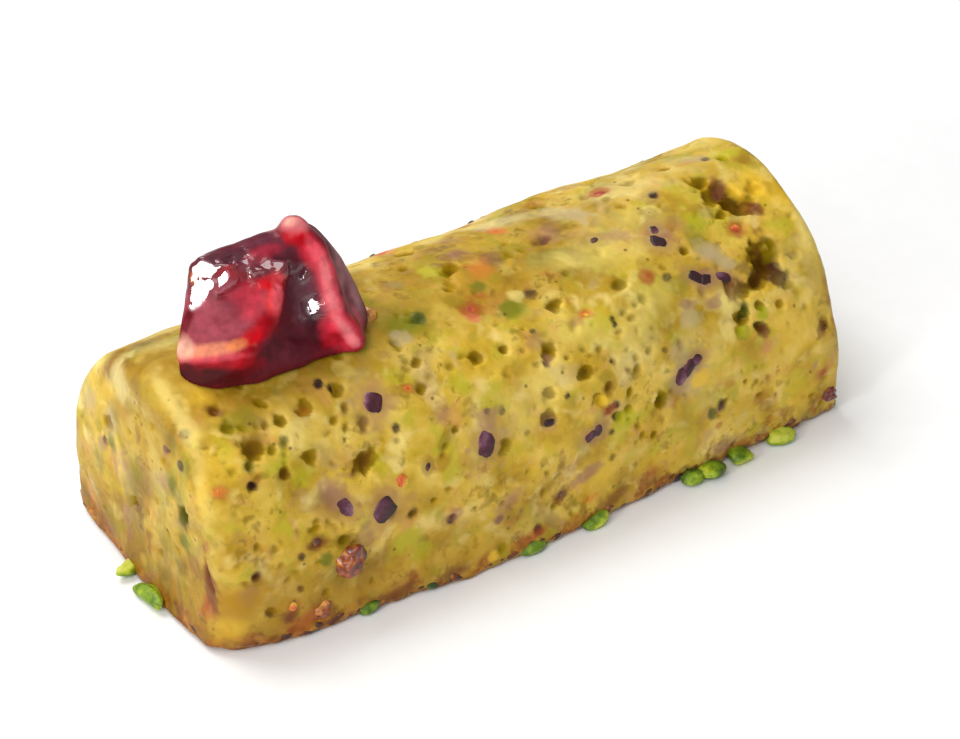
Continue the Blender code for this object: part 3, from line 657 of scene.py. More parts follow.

# Stains, painted light and painted shade by photo pixel: length, breadth, slant, colour and strength
STAINS_AND_PAINTED_LIGHT = (
    # broad painted light and shade: pale patches of painted light, among them a painted sheen near the crest,
    # and ochre painted shade low on the front and at the near foot
    (620, 190, 14, 6, 15, "painted pale light", 0.4), (640, 215, 10, 5, 15, "pale lime", 0.35),
    (500, 222, 14, 5, 15, "painted pale light", 0.5), (560, 260, 8, 4, 10, "cream", 0.25),
    (640, 345, 8, 6, 0, "cream", 0.5), (530, 400, 12, 8, 20, "cream", 0.35),
    (600, 255, 12, 7, 10, "pale lime", 0.45), (648, 300, 9, 8, 0, "pale lime", 0.5),
    (575, 330, 9, 6, 0, "pale lime", 0.4), (725, 303, 5, 4, 0, "cream", 0.7),
    (340, 512, 11, 7, 20, "ochre", 0.4), (415, 505, 10, 6, 20, "ochre", 0.35),
    (390, 560, 14, 5, 15, "ochre", 0.6), (290, 590, 8, 5, 15, "ochre", 0.6),
    (688, 382, 6, 5, 150, "haze", 0.5), (650, 425, 9, 5, 20, "ochre", 0.25),
    (240, 422, 7, 5, 20, "olive", 0.6), (205, 402, 6, 4, 150, "ochre", 0.5),
    (160, 345, 6, 4, 20, "cream", 0.4), (118, 383, 6, 5, 150, "painted pale light", 0.6),
    (780, 190, 8, 4, 121, "gold", 0.6), (804, 225, 12, 3.4, 108, "cream", 0.6),
    (814, 275, 9, 4, 98, "cream", 0.35), (790, 330, 15, 10, 95, "gold", 0.4),
    (540, 450, 12, 8, 20, "gold", 0.3), (600, 470, 8, 6, 20, "gold", 0.35), (800, 395, 6, 4, 20, "gold", 0.4),
    (752, 183, 5, 4.4, 140, "gold", 0.8), (728, 153, 5, 3, 20, "lime", 0.75),
    (690, 415, 10, 6, 20, "olive", 0.3), (410, 300, 9, 6, 20, "olive", 0.35),
    # The cream strokes from (165, 396) to (201, 488) are a painted highlight along the near ridge.
    (470, 280, 12, 5, 15, "ochre", 0.3), (165, 396, 8, 2, 124, "cream", 0.5),
    (186, 430, 8, 2.2, 115, "cream", 0.5), (201, 488, 13, 2.4, 97, "cream", 0.4),
    (240, 606, 10, 6, 15, "ochre", 1), (647, 277, 2.4, 2, 0, "rust", 0.8),
    # strip under the crest
    (401, 323, 7.5, 6, 20, "green", 0.75), (417, 318, 2.4, 1.8, 60, "dark green", 0.8),
    (402, 338, 3.2, 2, 0, "haze", 0.6), (385, 310, 6, 3, 20, "olive", 0.45),
    (427, 271, 4, 3, 10, "lime", 0.7), (384, 271, 1.6, 1.4, 0, "ochre", 0.7),
    (385, 252, 5, 3.6, 15, "rose", 0.8), (407, 271, 2, 1.6, 0, "mauve", 0.4),
    (420, 247, 2, 2, 0, "olive", 0.7), (447, 240, 4.6, 3, 15, "mauve", 0.45),
    (495, 231, 2.6, 1.8, 0, "orange", 0.75), (455, 254, 4.6, 3, 30, "mauve", 0.35),
    (477, 270, 3.8, 4.2, 0, "orange", 0.6), (479, 287, 2.6, 2.2, 0, "green", 0.6),
    (480, 296, 3.6, 1.8, 10, "rust", 0.6), (472, 309, 2.8, 2.4, 90, "rust", 0.75),
    (474, 319, 2.2, 1.4, 0, "rose", 0.6), (454, 301, 3, 1.6, 0, "olive", 0.6),
    (545, 233, 4.2, 4.6, 0, "mauve", 0.55), (545, 237, 1.4, 1.4, 0, "plum", 0.5),
    (565, 215, 6, 6, 0, "haze", 0.5), (617, 235, 4.4, 2.2, 10, "mauve", 0.6),
    (529, 294, 2.8, 1.3, 15, "dark", 0.7), (508, 308, 2.8, 2.2, 30, "green", 0.85),
    (515, 295, 2.6, 1.6, 20, "cream", 0.7), (567, 273, 2, 1.6, 0, "olive", 0.6),
    (547, 262, 3, 2.6, 0, "olive", 0.3), (696, 220, 4.4, 3.4, 0, "lime", 0.7),
    (700, 246, 3, 3, 0, "green", 0.45), (598, 193, 2, 2.2, 0, "rust", 0.8),
    (606, 200, 1.6, 1.8, 0, "olive", 0.7), (710, 253, 5.4, 3.4, 10, "haze", 0.85),
    (724, 262, 3.4, 2.4, 0, "haze", 0.7), (578, 215, 3, 3, 0, "haze", 0.4),
    (526, 196, 6, 3.4, 15, "green", 0.35), (500, 209, 5, 3, 15, "green", 0.35),
    (588, 177, 5, 2.6, 15, "green", 0.35), (650, 155, 3.4, 2, 15, "brown", 0.55),
    (690, 160, 5, 3, 0, "haze", 0.5),
    # front
    (585, 314, 2.2, 1.2, 40, "orange", 0.6), (577, 321, 1.8, 1.4, 30, "mauve", 0.4),
    (462, 385, 3.6, 2.8, 0, "lime", 0.6), (549, 358, 1.7, 1.4, 80, "mauve", 0.6),
    (407, 388, 1, 1, 0, "orange", 0.85), (397, 392, 2, 1.6, 0, "olive", 0.5),
    (441, 412, 3.6, 3, 60, "mauve", 0.5), (443, 462, 2.4, 2.2, 60, "rust", 0.45),
    (445, 440, 3.4, 1.8, 60, "olive", 0.6), (506, 449, 2.6, 1.4, 60, "olive", 0.75),
    (488, 420, 3.2, 2.6, 90, "mauve", 0.5), (505, 375, 3.8, 1.1, 85, "olive", 0.35),
    (715, 303, 2, 1.6, 20, "mauve", 0.7), (686, 304, 2.2, 1.6, 20, "mauve", 0.7),
    (689, 318, 3.2, 3, 0, "haze", 0.7), (699, 380, 2.8, 2.2, 0, "gold", 0.8),
    (680, 352, 5.6, 3.6, 30, "haze", 0.45), (668, 392, 4.4, 3.6, 60, "green", 0.35),
    (626, 421, 3.4, 2.6, 20, "lime", 0.8), (603, 401, 2.2, 1.6, 20, "gold", 0.8),
    (612, 409, 1.8, 1.2, 40, "rust", 0.7), (610, 388, 2.4, 1.8, 20, "brown", 0.55),
    (608, 377, 2.6, 2, 0, "olive", 0.5), (690, 330, 4, 5, 0, "cream", 0.35),
    (712, 414, 2, 1.4, 90, "dark green", 0.65), (719, 425, 1.4, 1.2, 0, "rust", 0.6),
    (774, 416, 3.4, 2, 20, "rust", 0.25), (723, 446, 3.6, 2.6, 20, "mauve", 0.8),
    (767, 346, 2.2, 1.8, 90, "rose", 0.4), (756, 348, 3.6, 2.6, 20, "olive", 0.35),
    (822, 329, 2.2, 1.5, 80, "brown", 0.75), (823, 372, 1.3, 1.4, 0, "rust", 0.85),
    (815, 365, 1.6, 1.2, 80, "mauve", 0.5), (587, 475, 3.2, 2, 20, "mauve", 0.75),
    (590, 498, 2.6, 1.6, 20, "orange", 0.4), (561, 498, 2.2, 1.6, 70, "brown", 0.75),
    (510, 500, 5.4, 2.6, 35, "mauve", 0.6), (499, 518, 2, 1.6, 40, "mauve", 0.7),
    (457, 516, 2.2, 1.6, 40, "mauve", 0.6), (406, 541, 5, 4.2, 20, "lime", 0.75),
    (420, 552, 3, 2.6, 20, "lime", 0.5), (439, 516, 1.6, 1.4, 0, "green", 0.4),
    (334, 494, 4.6, 3.8, 130, "mauve", 0.8), (322, 503, 3.6, 3.2, 130, "brown", 0.4),
    (330, 515, 4.8, 2.6, 20, "brown", 0.35), (318, 544, 2.4, 1.4, 10, "brown", 0.75),
    (326, 560, 2.2, 2, 40, "green", 0.8), (345, 542, 3, 2.4, 20, "olive", 0.75),
    (340, 575, 4.6, 3.6, 20, "olive", 0.5), (249, 597, 3.2, 2.4, 70, "mauve", 0.6),
    (257, 580, 1.6, 1.8, 0, "brown", 0.5), (312, 616, 5.4, 3.2, 15, "rust", 0.8),
    (292, 615, 2.4, 1.8, 20, "brown", 0.8), (283, 480, 3, 2.4, 0, "olive", 0.4),
    (274, 468, 4.4, 2.4, 30, "lime", 0.65), (303, 478, 3, 2.6, 60, "lime", 0.5),
    (252, 446, 4.6, 3.2, 60, "olive", 0.6), (240, 420, 5, 3.4, 20, "green", 0.4),
    (305, 409, 2, 1.4, 20, "orange", 0.25), (218, 492, 1.5, 1.3, 0, "orange", 0.8),
    # The long gold stroke at (205, 480) is a painted highlight along the near ridge.
    (228, 468, 6, 3.6, 70, "gold", 0.4), (205, 480, 12, 2.4, 80, "gold", 0.45),
    # The ochre at (246, 600) is painted shade at the near foot.
    (246, 600, 7, 4, 15, "ochre", 0.5), (652, 471, 2, 1.8, 0, "rust", 0.6),
    (494, 556, 2.2, 1.6, 15, "gold", 0.85), (539, 533, 3.6, 1.6, 20, "rust", 0.75),
    (400, 591, 6, 1.9, 15, "brown", 0.85), (456, 572, 4.6, 1.9, 15, "brown", 0.8),
    (615, 498, 5, 1.6, 25, "brown", 0.7), (578, 530, 5, 1.8, 20, "rust", 0.45),
    (300, 636, 5, 1.6, 10, "brown", 0.7), (757, 446, 3, 1.2, 15, "brown", 0.7),
    (700, 440, 6, 2.6, 20, "tan", 0.4), (655, 460, 5, 3, 20, "gold", 0.4),
    (185, 378, 3.6, 2.4, 30, "ochre", 0.8), (200, 395, 5, 3.4, 130, "gold", 0.5),
    (232, 400, 6, 3, 10, "ochre", 0.5), (330, 373, 5, 1.8, 20, "olive", 0.6),
    # hollows near the far end
    (719, 190, 2.4, 1.8, 60, "mauve", 0.6), (739, 192, 4, 1.6, 140, "gold", 0.8),
    (760, 200, 4, 2.4, 130, "gold", 0.5), (736, 228, 1.6, 1.4, 30, "rust", 0.9),
    (762, 273, 3.6, 2.6, 30, "olive", 0.6), (776, 267, 1.5, 1.5, 0, "plum", 0.6),
    (762, 312, 2.2, 1.9, 90, "lime", 0.95), (744, 331, 2, 1.6, 0, "lime", 0.8),
    (745, 312, 2.4, 1.5, 90, "dark green", 0.7), (759, 326, 2.2, 1.3, 150, "dark", 0.7),
    (790, 270, 9, 4, 100, "cream", 0.35), (717, 189, 2.4, 3.4, 0, "brown", 0.8),
    (754, 206, 3.2, 1.8, 150, "brown", 0.95), (735, 215, 4, 2, 10, "olive", 0.6),
    # The dark patches in the hollows at (766, 262), (757, 278) and (778, 277) are painted shade.
    (710, 200, 1.8, 4, 0, "olive", 0.7), (766, 262, 2.8, 6, 15, "painted hollow shade", 0.9),
    (757, 278, 3.4, 2.6, 50, "painted hollow shade", 0.95), (778, 277, 3.4, 2.4, 160, "painted hollow shade", 0.95),
    (770, 250, 2.4, 3.4, 0, "olive", 0.8), (731, 286, 1.6, 3.4, 20, "brown", 0.75),
    # The ochre at (240, 608) is painted shade at the near foot.
    (765, 332, 2, 1.4, 0, "brown", 0.8), (240, 608, 8, 5, 20, "ochre", 0.5),
    (228, 560, 7, 5, 80, "ochre", 0.3), (283, 474, 2.4, 1.8, 0, "brown", 0.6),
    (254, 448, 4, 2.8, 60, "brown", 0.5), (214, 411, 2.2, 1.8, 0, "brown", 0.8),
    (362, 462, 2.6, 2, 60, "brown", 0.35),
    # near end
    (110, 423, 6, 3.4, 80, "haze", 0.7), (104, 444, 2.6, 1.8, 80, "mauve", 0.6),
    (112, 441, 2.8, 1.8, 80, "green", 0.5), (138, 434, 2.4, 1.6, 110, "brown", 0.5),
    (129, 408, 2.4, 2.2, 0, "olive", 0.45), (162, 481, 2.8, 2.4, 90, "mauve", 0.55),
    (172, 487, 3.4, 2.6, 110, "green", 0.5), (183, 519, 3.6, 2.2, 90, "dark green", 0.5),
    (184, 541, 4.4, 2, 110, "green", 0.65), (127, 514, 3.4, 2, 100, "mauve", 0.6),
    (155, 470, 12, 4, 95, "cream", 0.35), (103, 521, 3.6, 3.6, 120, "brown", 0.55),
    (117, 545, 3.6, 2.6, 130, "rust", 0.6), (92, 495, 5, 3, 100, "orange", 0.3),
    (209, 605, 2.6, 2.4, 110, "rust", 0.75), (209, 577, 1.5, 5, 15, "brown", 0.9),
    (210, 590, 2.4, 7, 15, "brown", 0.8), (206, 612, 3, 2.2, 20, "rust", 0.7),
    (166, 451, 1.9, 1.5, 110, "mauve", 0.6), (110, 390, 3.6, 3, 0, "gold", 0.5),
    (228, 630, 6, 4, 20, "gold", 0.45), (150, 590, 6, 3, 130, "tan", 0.4), (126, 470, 6, 4, 90, "haze", 0.35),
)
STAIN_WEIGHT = 0.9

# Seeded blotches of colour: how many, turns, sizes and strengths on the sides, and how many on each end
BLOTCH_COLOURS = ("lime", "haze", "mauve", "olive", "tan", "gold", "green", "cream", "rust")
SIDE_BLOTCHES = ((210, (72, 205), (1.4, 5), (0.25, 0.65)), (150, (-20, 72), (1, 3.6), (0.15, 0.4)))
END_BLOTCHES = ((-1, NEAR_LEAN, 46), (1, FAR_LEAN, 70))

# The ellipse that a mark fills: how far the search goes, its rim, and how uneven its edge is
SEARCH_SHARE, RIM, EDGE_FINE, EDGE_COARSE = 0.75, 1.3, 0.5, 0.55
FACING_LEAST = 0.1

# A stain: how far it spreads, its rim, the softness of small and large ones, and its mottling
SPREAD, STAIN_RIM, SMALL_STAIN, SMALL_SOFT, LARGE_SOFT, MOTTLE = 1.15, 1.12, 3.5, 0.45, 0.75, 0.35
NO_COLOUR = 1e-6


class Shell:
    """A closed skin: its points and normals, and ways to find and colour a place on it."""

    def __init__(self, points, faces):
        self.points, self.faces = points, faces
        self.normals = vertex_normals(points, faces)
        self.fine, self.coarse = lumps(points, 0.9, 3.1), lumps(points, 3.2, 8.7)
        self.tree = KDTree(len(points))
        for i, point in enumerate(points):
            self.tree.insert(point, i)
        self.tree.balance()
        self.hit = BVHTree.FromPolygons(points.tolist(), faces)

    def layer(self, colour, strength=0.0):
        """A colour layer of one colour."""
        return np.tile(np.array(colour + (strength,)), (len(self.points), 1))

    def seen_at(self, px, py):
        """Place and outward direction where the photo's pixel lies on the skin."""
        place, outward, _, _ = self.hit.ray_cast(CAMERA_PLACE, pixel_ray(px, py))
        return place, outward

    def around(self, place, outward, length, breadth, slant, ragged):
        """Points near a place, and how far out each lies in a ragged ellipse: 0 middle, 1 rim."""
        found = self.tree.find_range(place, max(length, breadth) * SEARCH_SHARE)
        index = np.array([item[1] for item in found], dtype=int)
        if len(index) == 0:
            return index, np.zeros(0)
        along, across = plane_axes(outward, slant)
        away = self.points[index] - np.array(place)
        facing = self.normals[index] @ np.array(outward)
        out = np.hypot(away @ along / (length / 2), away @ across / (breadth / 2))
        out = out * (1 + ragged * (EDGE_FINE * self.fine[index] + EDGE_COARSE * self.coarse[index]))
        keep = (out < RIM) & (facing > FACING_LEAST)
        return index[keep], out[keep]

    def dye(self, layer, place, outward, length, breadth, slant, colour, strength, soft=None, ragged=0.9):
        """Lays a soft-edged colour over what the layer holds."""
        soft = soft or (SMALL_SOFT if length < SMALL_STAIN else LARGE_SOFT)
        index, out = self.around(place, outward, length * SPREAD, breadth * SPREAD, slant, ragged)
        weight = strength * np.clip((STAIN_RIM - out) / soft, 0, 1) * (1 + MOTTLE * self.fine[index])
        weight = np.clip(weight, 0, 1)
        old = layer[index]
        left = old[:, 3] * (1 - weight)
        total = (weight + left)[:, None]
        mixed = np.array(colour) * weight[:, None] + old[:, :3] * left[:, None]
        mixed = np.where(total > NO_COLOUR, mixed / np.maximum(total, NO_COLOUR), old[:, :3])
        layer[index] = np.concatenate([mixed, total], axis=1)

    def dye_seen(self, layer, px, py, length, breadth, slant, colour, strength, **edge):
        """The same, at a pixel of the photo."""
        place, outward = self.seen_at(px, py)
        if place is not None:
            self.dye(layer, place, outward, length, breadth, slant, colour, strength, **edge)


class Loaf(Shell):
    """The loaf's skin while it is being shaped: how far each point sinks, and its colour layers."""

    def __init__(self):
        points, faces = loaf_mesh()
        free = np.clip((points[:, 2] - FREE_FROM) / FREE_OVER, 0, 1)
        points += vertex_normals(points, faces) * (SWELL * swell(points, SWELL_WAVE, SEED) * free)[:, None]
        in_front = points[:, 1] < -WIDTH / 4
        foot = np.where(in_front, np.maximum(0, 1 - points[:, 2] / FRONT_BULGE_TOP), 0)
        away = (points[:, 0] - FRONT_BULGE_X) / FRONT_BULGE_REACH
        points[:, 1] -= FRONT_BULGE * foot * np.exp(-away ** 2)
        for place, reach, move in PUSHES:
            share = np.exp(-(((points - place) / reach) ** 2).sum(axis=1))
            points += share[:, None] * move
        super().__init__(points, faces)
        self.free = free
        self.end = np.clip((np.abs(self.normals[:, 0]) - END_FACING) / END_SOFT, 0, 1)
        self.sink = np.zeros(len(points))
        turn = np.degrees(np.arctan2(points[:, 2] - WALL, np.abs(points[:, 1])))
        self.crest = np.clip((turn + CREST_RAGGED * self.coarse - CREST_FROM) / CREST_SOFT, 0, 1)
        self.tone = self.layer(COLOURS["tan"])
        self.stain = self.layer(COLOURS["tan"])

    def dent(self, place, outward, length, breadth, slant=0.0, depth=None, ragged=0.6):
        """Sinks a round-bottomed pit with a soft rim."""
        index, out = self.around(place, outward, length, breadth, slant, ragged)
        deepest = depth or PORE_DEPTH * min(length, breadth)
        bowl = deepest * np.clip(1.02 - out ** 2, 0, 1) * np.clip((1.06 - out) / 0.3, 0, 1)
        self.sink[index] = np.maximum(self.sink[index], bowl)


def plane_axes(outward, slant):
    """Two directions in the skin at a place, the first slanted up from the photo's right."""
    outward = Vector(outward).normalized()
    right = camera_axes()[0]
    flat = (right - outward * right.dot(outward)).normalized()
    up = outward.cross(flat)
    angle = math.radians(slant)
    along = flat * math.cos(angle) + up * math.sin(angle)
    return np.array(along), np.array(outward.cross(along))


def under_fruit(x, turn):
    return abs(x - FRUIT_MIDDLE[0]) < FRUIT_REACH - 3 and abs(turn - 90) < 30


def end_place(end, lean, y, z):
    """Place on an end face, and the way it faces."""
    return Vector((end * (LENGTH / 2 - lean * z), y, z)), Vector((end, 0, 0))


def pore_places(draw):
    """Seen pores and hollows, then seeded ones over the back, the crest and the end faces."""
    for x, turn, width in FRONT_PORES + HOLLOWS:
        yield *skin(x, turn), width
    taken = []
    while len(taken) < PORES_SCATTERED:
        x, turn = draw.uniform(*PORE_SPAN), draw.uniform(*PORE_TURNS)
        width = draw.uniform(*PORE_WIDTHS)
        place, outward = skin(x, turn)
        crowded = any((place - other).length < PORE_SPACING for other in taken)
        seen_far_end = x > 30 and turn < 95
        if crowded or under_fruit(x, turn) or seen_far_end:
            continue
        taken.append(place)
        yield place, outward, width
    for end, lean, y, z, width in END_PORES:
        yield *end_place(end, lean, y, z), width


def open_pores(loaf):
    for i, (place, outward, width) in enumerate(list(pore_places(random.Random(SEED)))):
        draw = random.Random(SEED * 100 + i)
        length = width * draw.uniform(1.0, 1.3)
        loaf.dent(place, outward, length, width * 0.94, draw.uniform(*ANY_SLANT), ragged=0.8)
    for px, py, length, breadth, slant in SMALL_PITS:
        loaf.dent(*loaf.seen_at(px, py), length, breadth, slant, depth=SMALL_PIT_DEPTH * breadth)
    draw = random.Random(SEED + 4)
    for px, py, across, up, count in PIT_PATCHES:
        for _ in range(count):
            length = draw.uniform(0.8, 2.1)
            breadth, slant = length * draw.uniform(0.5, 0.9), draw.uniform(*ANY_SLANT)
            place, outward = loaf.seen_at(draw.gauss(px, across), draw.gauss(py, up))
            if place is not None and place.z > LOWEST_MARK:
                depth = PATCH_PIT_DEPTH * breadth
                loaf.dent(place, outward, length, breadth, slant, depth, ragged=0.35)
    draw = random.Random(SEED + 2)
    for _ in range(FINE_PORES):
        x, turn = draw.uniform(*LOAF_SPAN), draw.uniform(*LOAF_TURNS)
        width = FINE_SMALLEST + (FINE_LARGEST - FINE_SMALLEST) * draw.random() ** FINE_CROWDING
        stretch, slant = draw.uniform(1.0, 1.6), draw.uniform(*ANY_SLANT)
        place, outward = skin(x, turn)
        if place.z > LOWEST_MARK:
            loaf.dent(place, outward, width * stretch, width, slant, FINE_PORE_DEPTH * width, ragged=0.3)


def shape_loaf(loaf):
    """Sinks the pores, and roughens the skin and the foot; the base stays flat."""
    z = loaf.points[:, 2]
    foot = np.clip(1 - z / CRUST_HEIGHT, 0, 1) * np.clip(z / 0.4, 0, 1)
    ripple = RIPPLE * loaf.coarse + GRAIN * loaf.fine + WAVES * lumps(loaf.points, WAVE_LENGTH, 1.7)
    crust = (CRUST_CRAGS * lumps(loaf.points, CRUST_WAVE, 5.3) + CRUST_GRAIN * loaf.fine) * foot
    crag = PIT_CRAGS * loaf.fine * np.clip(loaf.sink - PIT_CRAGS_FROM, 0, 1)
    change = (ripple + crag) * loaf.free + crust - loaf.sink
    loaf.points += loaf.normals * change[:, None]


def blotch(loaf, draw, place, outward, sizes, stretches, strengths, slants):
    size, stretch = draw.uniform(*sizes), draw.uniform(*stretches)
    colour, strength = draw.choice(BLOTCH_COLOURS), draw.uniform(*strengths)
    if place.z > LOWEST_MARK:
        slant = draw.uniform(*slants)
        loaf.dye(loaf.tone, place, outward, size, size * stretch, slant, COLOURS[colour], strength)


def colour_loaf(loaf):
    """The stains and the painted light and shade that the photo shows, then seeded blotches all over."""
    for px, py, length, breadth, slant, colour, strength in STAINS_AND_PAINTED_LIGHT:
        loaf.dye_seen(loaf.stain, px, py, length, breadth, slant, COLOURS[colour], STAIN_WEIGHT * strength)
    draw = random.Random(SEED + 3)
    for count, turns, sizes, strengths in SIDE_BLOTCHES:
        for _ in range(count):
            place, outward = skin(draw.uniform(*LOAF_SPAN), draw.uniform(*turns))
            blotch(loaf, draw, place, outward, sizes, (0.5, 1.0), strengths, ANY_SLANT)
    for end, lean, count in END_BLOTCHES:
        for _ in range(count):
            place, outward = end_place(end, lean, draw.uniform(-20, 20), draw.uniform(LOWEST_MARK, 31))
            blotch(loaf, draw, place, outward, (1.2, 4.6), (0.4, 1.0), (0.25, 0.55), (60, 120))


# Meshes and bits

def make_piece(name, points, faces, material, node):
    """A finished mesh piece in metres that stands for a node of the frame."""
    mesh = bpy.data.meshes.new(name)
    mesh.from_pydata((np.asarray(points) * METRES).tolist(), [], faces)
    mesh.materials.append(material)
    mesh.shade_smooth()
    piece = bpy.data.objects.new(name, mesh)
    bpy.context.scene.collection.objects.link(piece)
    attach(piece, "root")
    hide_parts(node)
    return piece


def add_layer(mesh, name, colours):
    layer = mesh.color_attributes.new(name, "FLOAT_COLOR", "POINT")
    layer.data.foreach_set("color", np.asarray(colours, dtype=np.float32).ravel())


def add_values(mesh, name, values):
    layer = mesh.attributes.new(name, "FLOAT", "POINT")
    layer.data.foreach_set("value", np.asarray(values, dtype=np.float32))


def ball(level):
    """Directions and faces of a fine ball."""
    bm = bmesh.new()
    bmesh.ops.create_icosphere(bm, subdivisions=level, radius=1.0)
    directions = np.array([vert.co for vert in bm.verts])
    faces = [tuple(vert.index for vert in face.verts) for face in bm.faces]
    bm.free()
    return directions / np.linalg.norm(directions, axis=1)[:, None], faces


BALLS = {level: ball(level) for level in (2, 3, 4)}


def lying(outward, slant):
    """Turn of a bit that lies in the skin, its length slanted up from the photo's right."""
    along, across = plane_axes(outward, slant)
    return np.stack([along, across, np.array(outward)], axis=1)


def any_direction(draw):
    return np.array(Vector([draw.gauss(0, 1) for _ in range(3)]).normalized())


class Bits:
    """Many small bits of one kind, joined into one mesh."""

    def __init__(self):
        self.points, self.faces, self.tones = [], [], []
        self.count = 0

    def add(self, place, turn, size, draw, level=3, cuts=9, cut=0.62, rough=0.05, tone=None, side=0.35,
            boxy=False, bend=0.0):
        """One bit: a ball trimmed by soft flat cuts; tone runs from 0 to 1, and side tints one side of it."""
        directions, faces = BALLS[level]
        trimmed = np.ones(len(directions))
        if boxy:
            for axis in (0, 1):
                trimmed += (np.abs(directions[:, axis]) / BOX_SIDE) ** SHARPNESS
        for _ in range(cuts):
            facing, offset = any_direction(draw), draw.uniform(cut, LIGHTEST_CUT)
            trimmed += (np.maximum(directions @ facing, 0) / offset) ** SHARPNESS
        reach = trimmed ** (-1 / SHARPNESS)
        reach *= 1 + rough * lumps(directions, BIT_LUMPS, draw.uniform(0, 50))
        points = directions * reach[:, None] * np.array(size) / 2
        points[:, 1] += bend * (2 * points[:, 0] / size[0]) ** 2
        middle = draw.uniform(0, 1) if tone is None else tone
        tinted = np.clip(directions @ any_direction(draw) * 2.0 - 0.4, -1, 1)
        self.points.append(points @ np.array(turn).T + np.array(place))
        self.faces += [tuple(v + self.count for v in face) for face in faces]
        self.tones.append(middle + side * tinted)
        self.count += len(points)

    def finish(self, name):
        points = np.concatenate(self.points)
        points[:, 2] = np.maximum(points[:, 2], BASE_LEVEL)
        material, settings, stops = BIT_KINDS[name]
        looks = bit_looks(material, stops, **settings)
        piece = make_piece(name, points, self.faces, looks, "cake_body")
        add_values(piece.data, "tone", np.concatenate(self.tones))


def stick(bits, loaf, px, py, length, breadth, slant, proud, draw, halo="mauve", **looks):
    """A bit at a pixel of the photo, with a halo of its colour in the crumb round it."""
    place, outward = loaf.seen_at(px, py)
    thick = max(0.5, proud * 2.4)
    if proud < 0.5:
        loaf.dye(loaf.stain, place, outward, length * 1.7, breadth * 1.7, slant, COLOURS[halo], 0.5)
    centre = Vector(place) + Vector(outward) * (proud - thick / 2)
    bits.add(centre, lying(outward, slant), (length, breadth, thick), draw, **looks)


def scatter(bits, draw, size, proud, level=2, **looks):
    """One bit somewhere on the back or the far end."""
    place, outward = skin(draw.uniform(*LOAF_SPAN), draw.uniform(*BACK_TURNS))
    if draw.random() < FAR_END_SHARE:
        z = draw.uniform(2, 30)
        place, outward = end_place(1, FAR_LEAN, draw.uniform(-17, 17), z)
        if height_above_loaf(np.array([place]))[0] > -2:
            return
    if place.z < 2:
        return
    turn, thick = lying(outward, draw.uniform(*ANY_SLANT)), size * 0.7
    centre = place + outward * (proud - thick / 2)
    bits.add(centre, turn, (size * 1.2, size, thick), draw, level=level, **looks)


# Dark purple chunks: photo pixel, length, breadth, slant, proud, tone
PURPLE_CHUNKS = (
    (374, 402, 2.9, 2.6, 85, 0.22, 0.6), (487, 444, 3.7, 2.6, 82, 0.25, 0.3),
    (385, 510, 3.6, 3, 40, 0.28, 0.2), (346, 508, 3, 1.9, 130, 0.3, 0.6), (697, 277, 2.6, 1.5, 160, 0.2, 0.3),
    (707, 279, 1.9, 1.5, 10, 0.18, 0.25), (722, 276, 2.9, 1.7, 5, 0.2, 0.3), (696, 360, 2, 1.4, 50, 1, 0.2),
    (688, 368, 2.9, 1.6, 55, 1, 0.3), (681, 376, 2.6, 1.9, 60, 1, 0.55), (660, 242, 3, 1.9, 165, 0.2, 0.3),
    (654, 228, 2, 1.4, 110, 0.12, 0.4), (591, 437, 1.9, 1.6, 20, 0.3, 0.15),
    (598, 431, 1.8, 1.5, 60, 0.3, 0.15), (550, 423, 1.5, 1, 5, 0.15, 0.2),
)
CHUNK_GROWTH, CHUNK_SINKING = 1.35, 0.4
CHUNK_SHAPE = {"level": 3, "cuts": 5, "cut": 0.75, "rough": 0.2, "boxy": True}

# Small dark specks: photo pixel and size; those under PAINTED_SPECK are stains in the crumb
PAINTED_SPECK = 1.05
DARK_SPECKS = (
    (593, 240, 1.5), (575, 255, 1.2), (653, 195, 1), (650, 213, 1.2), (667, 277, 0.9), (429, 467, 1.1),
    (396, 428, 0.8), (502, 411, 0.7), (567, 396, 0.6), (184, 434, 0.9), (180, 466, 1), (137, 507, 1.1),
    (214, 411, 1), (787, 411, 1.1), (824, 326, 1), (612, 361, 0.5), (615, 325, 0.5), (616, 405, 0.8),
    (609, 410, 0.8), (618, 417, 0.9), (612, 457, 0.7), (721, 408, 1.1), (561, 495, 1.2), (452, 519, 0.9),
    (527, 433, 0.5), (487, 411, 0.5), (705, 159, 0.9), (679, 478, 1.9), (533, 331, 0.5), (612, 319, 0.5),
    (413, 513, 1), (499, 519, 0.8), (546, 363, 0.7), (330, 388, 0.7), (318, 384, 1), (209, 583, 1),
    (301, 589, 0.7), (288, 617, 1.1), (270, 612, 0.9), (256, 577, 0.9), (538, 530, 1), (603, 508, 1.4),
    (722, 404, 0.9), (420, 318, 0.9), (529, 294, 1.2), (776, 267, 1), (762, 327, 1), (346, 541, 0.9),
    (317, 543, 1.1), (252, 486, 0.9), (302, 557, 0.7), (166, 449, 0.8), (105, 440, 0.8), (612, 432, 0.5),
)

# Green flecks: photo pixel and size; those under PAINTED_FLECK are stains in the crumb
PAINTED_FLECK = 1.5
GREEN_FLECKS = (
    (417, 318, 1.3), (510, 307, 1.7), (694, 232, 1.9), (712, 414, 1.3), (326, 560, 1.4), (745, 311, 1.4),
    (479, 287, 1.3), (249, 466, 1.3), (183, 519, 1.4), (184, 541, 1.3), (111, 441, 1.1), (744, 331, 1.2),
    (763, 312, 1.2), (228, 428, 1.2), (392, 514, 0.9), (423, 541, 1.1), (284, 440, 1), (172, 487, 1.1),
)

